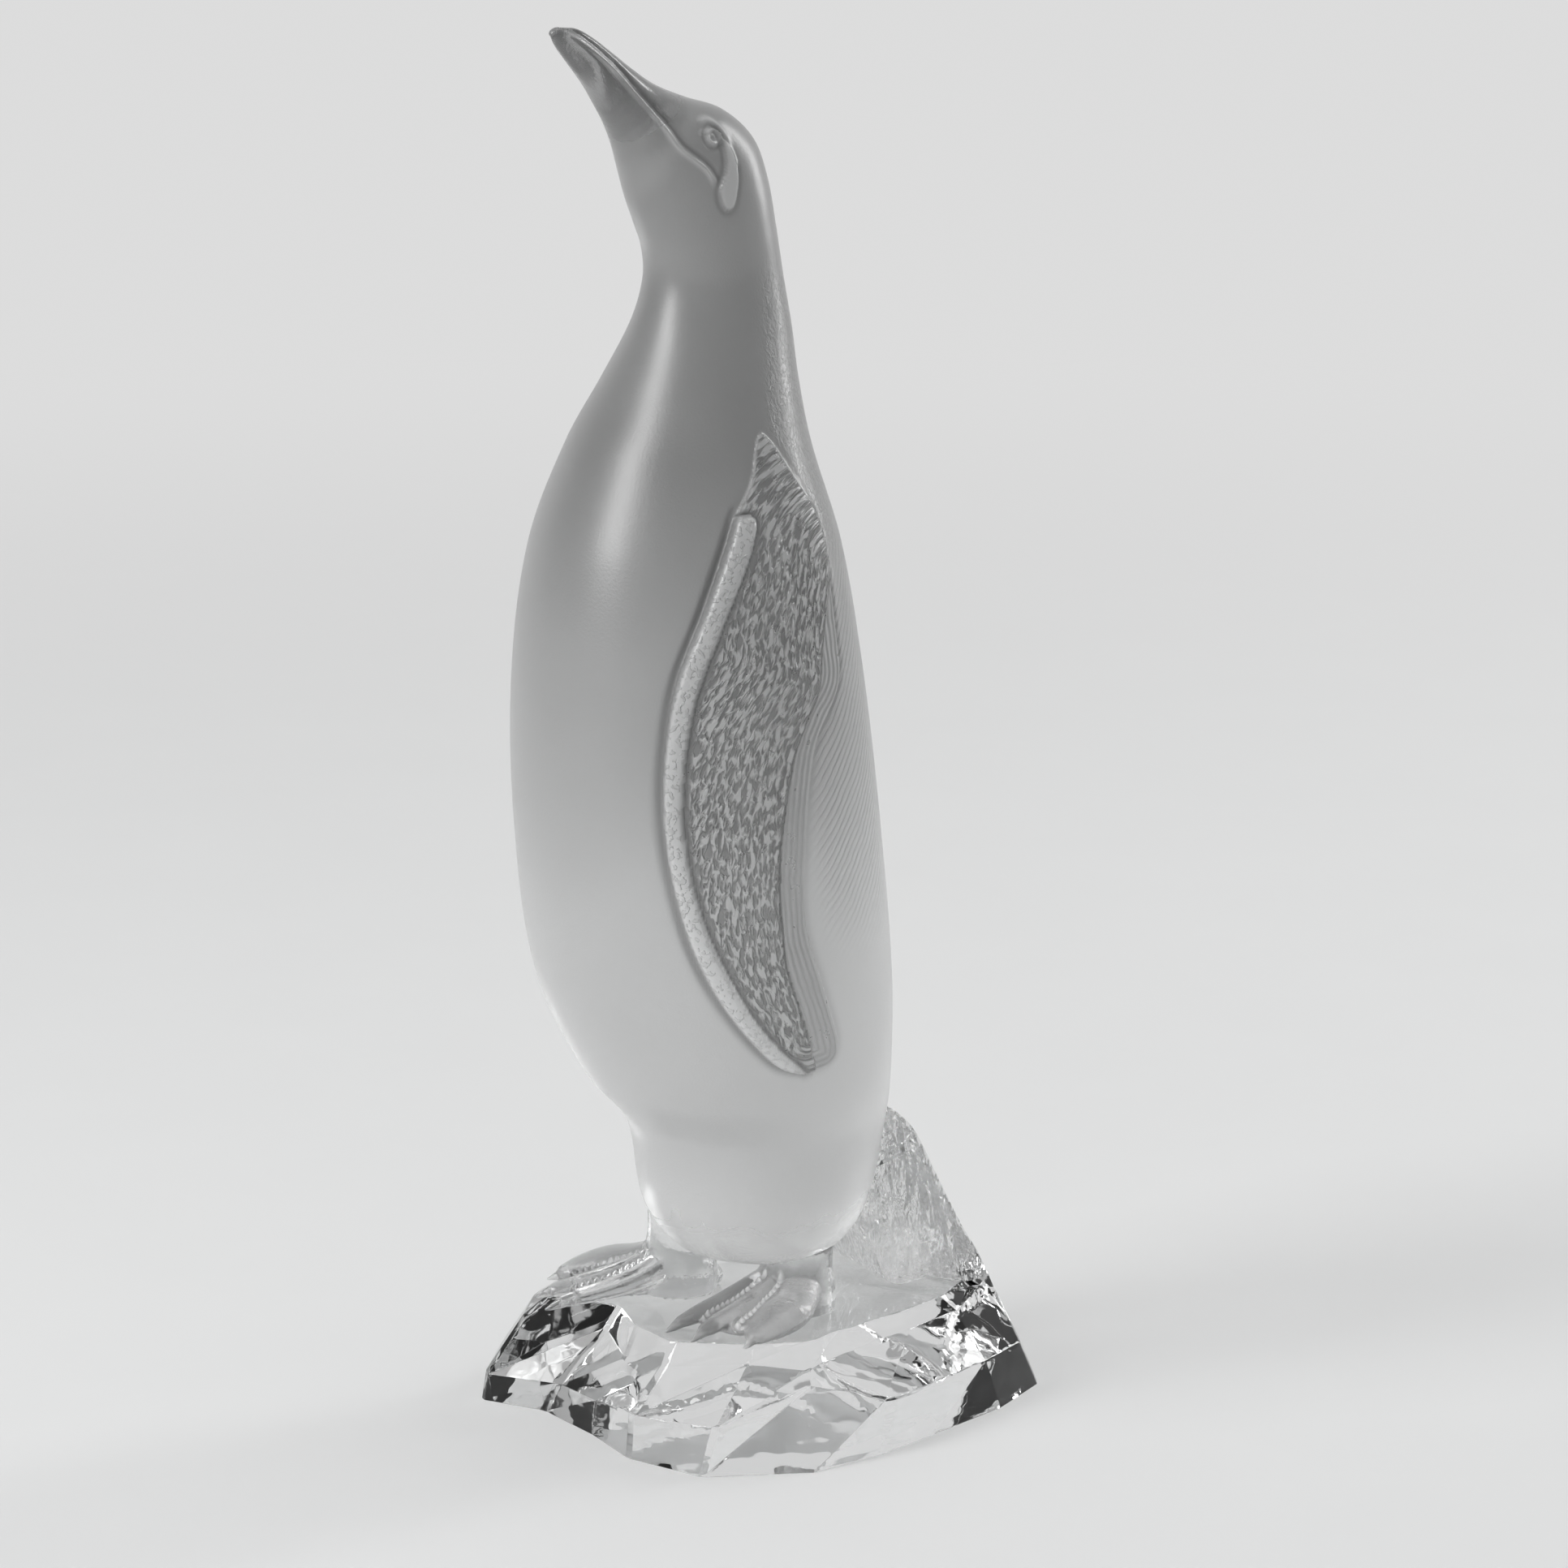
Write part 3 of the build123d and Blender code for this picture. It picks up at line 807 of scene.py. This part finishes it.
neck_ring, bill_ring, tip_ring = corner[neck_row], corner[bill_row], corner[-1]
neck_fan = fan(neck_ring, add_point(carved[neck_ring].mean(0)))
bill_fan = fan(bill_ring, add_point(carved[bill_ring].mean(0)))
floor_tip = carved[corner[0]].mean(0) - (0, 0, FLOOR_DOME)
tip_way = carved[tip_ring].mean(0) - carved[corner[-4]].mean(0)
tip_point = carved[tip_ring].mean(0) + tip_way / np.linalg.norm(tip_way) * TIP_DOME
body_outer = quads[region == "body"].tolist() + turned(dome(corner[0], floor_tip, FLOOR_ROUNDS))
body_joint = under(quads[patched & (face_row < neck_row)]) + neck_fan
head_outer = quads[region == "head"].tolist()
head_joint = under(quads[patched & (face_row >= neck_row)]) + turned(neck_fan) + bill_fan
bill_outer = quads[region == "bill"].tolist() + dome(tip_ring, tip_point, TIP_ROUNDS)
bill_joint = turned(bill_fan)
points = np.vstack([carved, base, extra])


def smooth_over(mesh, used):
    """Give the outer faces the normals of the whole skin, so that no seam shows between regions."""
    source = used[values_of(mesh.loops, "vertex_index")]
    face_size = values_of(mesh.polygons, "loop_total")
    outer = values_of(mesh.polygons, "material_index").repeat(face_size) == 0
    on_skin = outer & (source < count)
    wanted = np.zeros((len(source), 3))
    wanted[on_skin] = carved_normal[source[on_skin]]
    mesh.normals_split_custom_set(wanted.tolist())


def skin_piece(name, outer, inner, material=satin, slot_name="satin_crystal"):
    """One region of the skin as a closed piece, with its inner faces as joints."""
    faces = outer + inner
    used = sorted({index for face in faces for index in face})
    order = {index: number for number, index in enumerate(used)}
    mesh = bpy.data.meshes.new(name)
    mesh.from_pydata((points[used] * MM).tolist(), [], [[order[index] for index in face] for face in faces])
    mesh.polygons.foreach_set("material_index", [0] * len(outer) + [1] * len(inner))
    finish_piece(name, mesh, material)
    used = np.array(used)
    smooth_over(mesh, used)
    on_skin = used < 2 * count
    source = np.where(on_skin, used % count, 0)
    add_marks(mesh, {mark: np.where(on_skin, values[source], 0) for mark, values in marks.items()})
    return mesh


body_mesh = skin_piece("body", body_outer, body_joint)
skin_piece("head", head_outer, head_joint)
for name in patch_names:
    finish = (feathered, "feathered_crystal") if name.endswith("flipper") else ()
    skin_piece(name, *patch_faces(name), *finish)

# The bill, parted at the gape
gape_root = place(GAPE_ROOT)
gape_way = place(GAPE_TIP) - gape_root
gape_normal = Vector((0, -gape_way[1], gape_way[0])).normalized()
for name, is_upper in (("upper_bill", True), ("lower_bill", False)):
    mesh = skin_piece(name, bill_outer, bill_joint)
    shape = shape_of(mesh)
    half = {"clear_inner": not is_upper, "clear_outer": is_upper}
    close_cut(shape, cut(shape, Vector((0, *gape_root)) * MM, gape_normal, **half))
    bmesh.ops.recalc_face_normals(shape, faces=shape.faces[:])
    into_mesh(shape, mesh).update()

# The block of ice, from the facets of its node, with its edges eased and its top worked

TOP_LEVEL = ICE_TOP * MM
UP = Vector((0, 0, 1))
# To the right and away from the camera
RIGHT = Vector((0.5, 0.866, 0))
AHEAD = Vector((-0.866, 0.5, 0))

# A scooped fracture on the ice: centre (x, y), reach along and across, turn and depth
SCOOP_CENTRE, SCOOP_REACH, SCOOP_TURN, SCOOP_DEPTH = (29.0, 6.5), (10.5, 6.5), 55, 1.6
SCOOP_LIP = (1.06, 0.10, 0.28)
# Low steps in the top of the ice, as lines (x, y) with the lower side on the right hand
STEPS = [
    [(-2.0, -33.0), (6.5, -27.5), (13.9, -29.0), (20.1, -24.0), (26.1, -13.0), (30.5, -7.5)],
    [(31.5, 17.0), (25.0, 20.0), (18.5, 25.5), (14.0, 33.0)],
]
STEP_DEPTH, STEP_REACH = 0.55, 3.2
# How far the corner in front of the far foot swells, at each height, and the directions it takes in
CORNER_SWELL = ([0.0, 4.5, 13.2, 16.5], [0.0, 2.3, 4.2, 3.0])
CORNER_COSINES = (0.966, 0.978)
STEEP_BEVEL, EDGE_BEVEL, CUT_SPACING = (0.7, 1), (0.38, 2), 0.9


def ice_work(x, y, z, upward):
    """How far the surface of the ice goes down at a point."""
    aside, beyond = x - SCOOP_CENTRE[0], y - SCOOP_CENTRE[1]
    c, s = cos(radians(SCOOP_TURN)), sin(radians(SCOOP_TURN))
    u = (aside * c + beyond * s) / SCOOP_REACH[0]
    v = (-aside * s + beyond * c) / SCOOP_REACH[1]
    r = np.sqrt(u * u + v * v)
    down = SCOOP_DEPTH * (np.clip(1 - r * r, 0, 1) - drawn(r, SCOOP_LIP))
    for line in STEPS:
        distance, side, _ = line_distance(np.stack([x, y], -1), smooth_line(line))
        down = down + STEP_DEPTH * bell(distance, STEP_REACH) * eased(-side * distance, -0.3, 0.3)
    return down * eased(z, 5.0, 9.0) * eased(upward, 0.15, 0.5)


def grid_cut(shape, spacing):
    """Cut a shape along planes a spacing apart each way, so that its flat facets can bend."""
    for axis in range(3):
        heights = [vert.co[axis] for vert in shape.verts]
        across = Vector((axis == 0, axis == 1, axis == 2))
        for level in np.arange(min(heights) + spacing / 2, max(heights), spacing):
            cut(shape, across * float(level), across, dist=0.02 * MM)


def ease_edges(shape, edges, width, segments):
    bmesh.ops.bevel(
        shape, geom=edges, offset=width * MM, segments=segments, profile=0.6, affect="EDGES", clamp_overlap=True
    )


def swell_corner(shape):
    """Push the corner in front of the far foot outwards, most at its shoulder."""
    outwards = -RIGHT.normalized()
    for vert in shape.verts:
        flat = Vector((vert.co.x, vert.co.y, 0))
        share = float(eased(flat.normalized().dot(outwards), *CORNER_COSINES))
        vert.co += outwards * float(np.interp(vert.co.z / MM, *CORNER_SWELL)) * share * MM
    bmesh.ops.connect_verts_nonplanar(shape, angle_limit=radians(0.5), faces=shape.faces[:])


def is_steep(edge):
    rise = abs(edge.verts[0].co.z - edge.verts[1].co.z)
    return rise > 0.55 * edge.calc_length() and edge.calc_face_angle(0) > radians(12)


def make_ice():
    shape = shape_of(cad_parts["ice_base"].data)
    bmesh.ops.remove_doubles(shape, verts=shape.verts[:], dist=1e-6)
    bmesh.ops.dissolve_limit(shape, angle_limit=radians(0.5), verts=shape.verts[:], edges=shape.edges[:])
    swell_corner(shape)
    ease_edges(shape, [edge for edge in shape.edges if is_steep(edge)], *STEEP_BEVEL)
    ease_edges(shape, [edge for edge in shape.edges if edge.calc_face_angle(0) > radians(8)], *EDGE_BEVEL)
    grid_cut(shape, CUT_SPACING * MM)
    bmesh.ops.triangulate(shape, faces=shape.faces[:])
    shape.normal_update()
    places = np.array([vert.co for vert in shape.verts]) / MM
    ways = np.array([vert.normal for vert in shape.verts])
    for vert, depth in zip(shape.verts, ice_work(*places.T, ways[:, 2])):
        vert.co -= vert.normal * float(depth) * MM
        vert.co.z = min(max(vert.co.z, 0), TOP_LEVEL)
    return into_mesh(shape, bpy.data.meshes.new("ice"))


ice_mesh = make_ice()

# The lower end of the bare bird, to tell what lies inside it
BARE_TOP = 60
bare_mesh = bpy.data.meshes.new("bare_bird")
low_rows = int(np.searchsorted(runs, BARE_TOP))
low_faces = quads[: low_rows * columns].tolist() + [tuple(corner[0][::-1]), tuple(corner[low_rows])]
bare_mesh.from_pydata((base[: (low_rows + 1) * columns] * MM).tolist(), [], low_faces)
bare_tree = tree_of(bare_mesh)
bpy.data.meshes.remove(bare_mesh)
clear_trees = []


def grown_out(name, mesh, material, angle=None):
    """A clear piece that stands on the ice and grows out of the body, with its joint faces marked."""
    clear_trees.append(tree_of(mesh))
    shape = shape_of(mesh)
    edges = cut(shape, UP * TOP_LEVEL, UP, clear_inner=True)
    for face in shape.faces:
        centre = face.calc_center_median()
        face.material_index = int(centre.z < BARE_TOP * MM and within(bare_tree, centre))
    close_cut(shape, edges)
    finish_piece(name, into_mesh(shape, mesh), material, angle)


# Feet: leg, instep, three toes parted by beaded lines, and claws. Links are (ahead, out, up, radius).

TOES = [
    [
        (2, -1.6, 5.2, 3.6), (6.5, -3.6, 3.5, 3.1), (11, -5, 2.4, 2.6), (15.5, -6.1, 1.7, 2.1),
        (19.3, -6.9, 1.1, 1.5),
    ],
    [(2.5, 0, 5, 3.6), (7.5, -0.7, 3.5, 3), (12, -1, 2.5, 2.5), (16.5, -1.3, 1.8, 2.1), (20, -1.5, 1.2, 1.6)],
    [(2, 2, 5, 3.8), (6, 4, 3.3, 4.2), (10, 5.4, 2.5, 4.4), (14, 6, 1.8, 3.4), (17, 6.2, 1.2, 2.2)],
]
LEG = [
    (0.6, 0.0, 1.6, 6.6), (0.4, 0.0, 4.2, 6.2), (0.0, 0.0, 7.5, 5.7),
    (-0.4, -0.4, 11.0, 5.9), (-0.8, -1.2, 15.0, 6.4), (-1.0, -2.0, 19.0, 6.6),
]
INSTEP = [
    (-3.2, 0.0, 1.6, 3.6), (0.5, 0.2, 4.0, 5.2), (3.5, 0.5, 3.2, 5.0),
    (7.0, 0.6, 2.0, 4.9), (11.0, 0.6, 1.1, 4.6), (14.0, 0.0, 0.6, 4.0),
]
TOE_GAPS = ((0, 1), (1, 2))
CLAW_START, CLAW_LENGTH, CLAW_RADIUS, CLAW_TAPER, CLAW_DROP = 1.0, 2.6, 0.95, 0.62, 0.5
BEAD_SPACING = 1.05
WEB_THICKNESS, WEB_DROP = 2.5, 0.4
FOOT_SPLAY = radians(20)
SQUAT = 0.62
VOXEL = 0.27
LINK_STEPS = 12


def ball(shape, centre, radius, squat=1.0):
    made = bmesh.ops.create_icosphere(shape, subdivisions=3, radius=radius * MM)
    for vert in made["verts"]:
        vert.co = Vector((vert.co.x, vert.co.y, vert.co.z * squat)) + Vector(centre) * MM


def chain(shape, links, squat, spacing=0.22):
    """Balls close together along a smooth line of links."""
    last = None
    for link in smooth_line(links, LINK_STEPS):
        if last is None or np.linalg.norm(link[:3] - last[:3]) > spacing * link[3]:
            ball(shape, link[:3], link[3], squat)
            last = link


def melted(shape):
    """The balls of a shape as one soft closed mesh."""
    raw = loose("foot_raw", into_mesh(shape, bpy.data.meshes.new("foot")))
    remesh = raw.modifiers.new("whole", "REMESH")
    remesh.mode = "VOXEL"
    remesh.voxel_size = VOXEL * MM
    soften = raw.modifiers.new("soften", "SMOOTH")
    soften.factor = 0.5
    soften.iterations = 3
    bpy.context.view_layer.update()
    graph = bpy.context.evaluated_depsgraph_get()
    mesh = bpy.data.meshes.new_from_object(raw.evaluated_get(graph), depsgraph=graph)
    bpy.data.meshes.remove(raw.data)
    return mesh


def foot_mesh(side, ankle):
    """A foot, with its beads, its lower edge and its leg in the marks: painted highlights on the beads and the
    lower edge, painted shade beside the lines.
    """
    shape = bmesh.new()
    chain(shape, LEG, 1.0)
    chain(shape, INSTEP, SQUAT)
    for toe in TOES:
        chain(shape, toe, SQUAT)
        before, tip = np.array(toe[-2][:3]), np.array(toe[-1][:3])
        way = (tip - before) / np.linalg.norm(tip - before)
        for share in np.linspace(0, 1, 9):
            centre = tip + way * (CLAW_START + CLAW_LENGTH * share) - (0, 0, CLAW_DROP * share)
            ball(shape, centre, CLAW_RADIUS * (1 - CLAW_TAPER * share))
    for first, second in TOE_GAPS:
        web = (np.array(TOES[first]) + np.array(TOES[second])) / 2
        chain(shape, [(ahead, out, up - WEB_DROP, WEB_THICKNESS) for ahead, out, up, _ in web[:-1]], SQUAT)
    heading = Vector((side * sin(FOOT_SPLAY), -cos(FOOT_SPLAY), 0))
    outward = Vector((side * cos(FOOT_SPLAY), sin(FOOT_SPLAY), 0))
    for vert in shape.verts:
        ahead, out, up = vert.co
        vert.co = heading * ahead + outward * out + Vector((*ankle, ICE_TOP)) * MM + UP * up
    if side < 0:
        bmesh.ops.reverse_faces(shape, faces=shape.faces[:])

    mesh = melted(shape)
    places = values_of(mesh.vertices, "co", 3, float) / MM
    upward = values_of(mesh.vertices, "normal", 3, float)[:, 2]
    from_ankle = places - (*ankle, ICE_TOP)
    on_sole = np.stack([from_ankle @ np.array(heading), from_ankle @ np.array(outward)], -1)
    painted_highlight, groove = np.zeros(len(places)), np.zeros(len(places))
    # Deep lines between the toes, each with a row of beads in it
    for first, second in TOE_GAPS:
        line = (smooth_line(TOES[first], LINK_STEPS) + smooth_line(TOES[second], LINK_STEPS)) / 2
        distance, _, run = line_distance(on_sole, line[4:, :2])
        share = eased(upward, 0.0, 0.4) * eased(from_ankle[:, 2], 0.5, 1.3) * eased(run, 0.0, 1.5)
        beads = np.cos(run * tau / BEAD_SPACING)
        dent = 0.6 * bell(distance, 0.95) - 1.1 * bell(distance, 0.4) * (0.5 + 0.5 * beads)
        places[:, 2] -= dent * share
        # Painted highlight on the beads, and painted shade along both sides of each line
        painted_highlight += np.clip(1.4 * bell(distance, 0.42) * share * (0.45 + 0.55 * beads), 0, 1)
        groove += np.clip(bell(distance, 0.9) - bell(distance, 0.5), 0, 1) * share
    mesh.vertices.foreach_set("co", (places * MM).ravel())
    # Painted highlight along the lower edge of the foot, where it meets the ice
    painted_highlight += 0.5 * eased_down(from_ankle[:, 2], 0.9, 1.5) * eased(upward, -0.3, 0.4)
    leg = eased_down(on_sole[:, 0], -1.0, 2.5)
    add_marks(mesh, {"painted_highlight": np.clip(painted_highlight, 0, 1), "groove": np.clip(groove, 0, 1), "leg": leg})
    return mesh


grown_out("left_foot", foot_mesh(1, (7.8, 2.5)), near_foot_glass)
grown_out("right_foot", foot_mesh(-1, (-9.2, -9.0)), far_foot_glass)

# The tail: a fan of ridged feather blades from the small of the back to the ice. Lines are (y, z).

TAIL_BACK = [(17.0, 46.0), (19.5, 45.0), (23.8, 40.9), (27.4, 32.8), (31.0, 24.4), (33.6, 19.6), (34.9, 16.2)]
TAIL_UNDER = [(12.0, 46.0), (12.0, 31.0), (15.0, 24.0), (17.5, 18.6), (26.0, 18.3), (33.4, 16.2)]
TAIL_ROOT, TAIL_DROP = 46.0, 28.5
TAIL_BLADES, TAIL_COLUMNS = 5, 141
ROOT_HALF, HALF_GROWTH = 5.0, 7.3
BARB_HEIGHT, BARB_SPACING = 0.12, 2.4


def tail_mesh():
    back = smooth_line(TAIL_BACK, 16)
    profile = np.vstack([back, smooth_line(TAIL_UNDER, 12)[::-1]])
    on_back = np.arange(len(profile)) < len(back)
    step = np.gradient(profile, axis=0)
    out = np.stack([step[:, 1], -step[:, 0]], -1)
    out /= np.linalg.norm(out, axis=1, keepdims=True)
    low = np.clip((TAIL_ROOT - profile[:, 1]) / TAIL_DROP, 0, 1)
    sections = []
    for share in np.linspace(-1, 1, TAIL_COLUMNS):
        blade = (share + 1) / 2 * TAIL_BLADES
        ridge = abs(sin(blade * pi)) ** 0.6
        barb = BARB_HEIGHT * np.sin((profile[:, 1] * 1.6 + abs((blade % 1) - 0.5) * 7.0) * tau / BARB_SPACING)
        pull = (1 - ridge) * (1.0 + 0.5 * low) * on_back
        tip = 0.9 * abs(share) * TAIL_BLADES / 2 * low
        crown = 0.9 * share * share * (0.4 + low)
        lift = np.where(on_back, barb * ridge * eased(low, 0.05, 0.3) - pull - crown, 0)
        y = profile[:, 0] + out[:, 0] * lift - tip * np.where(on_back, 1, eased(profile[:, 0], 17.5, 33.4))
        z = profile[:, 1] + out[:, 1] * lift
        z = np.where(on_back | (profile[:, 0] > 33), z, np.maximum(z, ICE_TOP + 0.4))
        sections.append(np.stack([share * (ROOT_HALF + HALF_GROWTH * low), y, z], -1))
    here = np.arange(TAIL_COLUMNS * len(profile)).reshape(TAIL_COLUMNS, -1)
    after = np.roll(here, -1, 1)
    faces = np.stack([here[:-1], here[1:], after[1:], after[:-1]], -1).reshape(-1, 4).tolist()
    faces += [here[0].tolist(), here[-1][::-1].tolist()]
    mesh = bpy.data.meshes.new("tail")
    mesh.from_pydata((np.array(sections).reshape(-1, 3) * MM).tolist(), [], faces)
    shape = shape_of(mesh)
    bmesh.ops.triangulate(shape, faces=[face for face in shape.faces if len(face.verts) > 4])
    bmesh.ops.recalc_face_normals(shape, faces=shape.faces[:])
    return into_mesh(shape, mesh)


grown_out("tail", tail_mesh(), tail_glass, angle=50)


def open_joints(mesh, low, high, lift=0.0):
    """Let the light through the faces between two heights that lie in a foot or the tail."""
    for polygon in mesh.polygons:
        centre = polygon.center
        if polygon.material_index == 0 and low < centre.z < high:
            if any(within(tree, centre + UP * lift) for tree in clear_trees):
                polygon.material_index = 1


open_joints(body_mesh, -1, 0.055)
open_joints(ice_mesh, 0.012, 1, 1e-5)
finish_piece("ice_base", ice_mesh, ice_glass, angle=14)

# The stage, the lights and the camera

BACKDROP = 0.72
SHEET_DROP, SHEET_WIDTH = 0.00005, 3.2
FLOOR_END, BEND, WALL_TOP = 1.5, 0.9, 3.2
PLAIN_FROM = (0.22, 0.9)  # how far out the paper turns into the plain backdrop
LAMP_AIM = 0.11 * UP


def stage_paper():
    """Pale paper that looks like one even grey far from the figure, however it is lit."""
    net = Net("stage_paper")
    tone = net.blend(net.noise(30, 3), 0.78, 0.80)
    paper = net.new("ShaderNodeBsdfPrincipled", {"Base Color": tone, "Roughness": 0.75})
    plain = net.new("ShaderNodeEmission", {"Color": (BACKDROP, BACKDROP, BACKDROP, 1)})
    path = net.new("ShaderNodeLightPath").outputs
    seen = net.math("MAXIMUM", path["Is Camera Ray"], path["Is Glossy Ray"])
    seen = net.math("MAXIMUM", seen, path["Is Transmission Ray"])
    away = net.new("ShaderNodeVectorMath", {0: net.where}, operation="LENGTH").outputs["Value"]
    net.surface(net.times(seen, net.ramp(away, *PLAIN_FROM)), paper, plain)
    return net.material


def stage_sheet():
    """A pale floor that turns up into a backdrop far behind the figure."""
    profile = [(-2.6, 0.0), (-0.8, 0.0), (0.4, 0.0), (FLOOR_END, 0.0)]
    for turn in np.linspace(0, pi / 2, 13)[1:]:
        profile.append((FLOOR_END + BEND * sin(turn), BEND * (1 - cos(turn))))
    profile.append((FLOOR_END + BEND, WALL_TOP))
    widths = np.linspace(-SHEET_WIDTH, SHEET_WIDTH, 9)
    facing, across = AHEAD.normalized(), RIGHT.normalized()
    verts = [facing * out + across * wide + UP * (up - SHEET_DROP) for out, up in profile for wide in widths]
    here = np.arange(len(verts)).reshape(len(profile), -1)
    faces = np.stack([here[:-1, :-1], here[:-1, 1:], here[1:, 1:], here[1:, :-1]], -1)
    mesh = bpy.data.meshes.new("stage_sheet")
    mesh.from_pydata([tuple(vert) for vert in verts], [], faces.reshape(-1, 4).tolist())
    mesh.polygons.foreach_set("use_smooth", np.ones(len(mesh.polygons), bool))
    mesh.materials.append(stage_paper())
    sheet = loose("stage_sheet", mesh)


def look(thing, way):
    thing.rotation_euler = way.to_track_quat("-Z", "Y").to_euler()


def lamp(name, aside, away, up, power, width, tall):
    light = bpy.data.lights.new(name, "AREA")
    light.energy = power
    light.shape = "RECTANGLE"
    light.size = width
    light.size_y = tall
    thing = loose(name, light)
    thing.location = aside * RIGHT + away * AHEAD + UP * up
    look(thing, LAMP_AIM - thing.location)


stage_sheet()
lamp("key_softbox", -0.95, -0.45, 0.75, 8.6, 0.36, 0.9)
lamp("rim_softbox", 0.95, 0.55, 0.55, 5.0, 0.20, 0.9)
lamp("top_softbox", 0.1, 0.1, 1.3, 2.9, 0.9, 0.9)

world = bpy.data.worlds.new("studio")
bpy.context.scene.world = world
world.use_nodes = True
world.node_tree.nodes["Background"].inputs["Color"].default_value = (0.40, 0.40, 0.40, 1)

camera_data = bpy.data.cameras.new("camera")
camera_data.lens = 129.7
camera_data.sensor_width = 36
camera_data.sensor_fit = "HORIZONTAL"
camera = loose("camera", camera_data)
camera.location = Vector((736.1, -425.0, 326.0)) * MM
pan, tilt = radians(0.27175), radians(14.866)
level = AHEAD.normalized() * cos(pan) + RIGHT.normalized() * sin(pan)
look(camera, level * cos(tilt) - UP * sin(tilt))
bpy.context.scene.camera = camera
bpy.context.scene.view_settings.view_transform = "Standard"
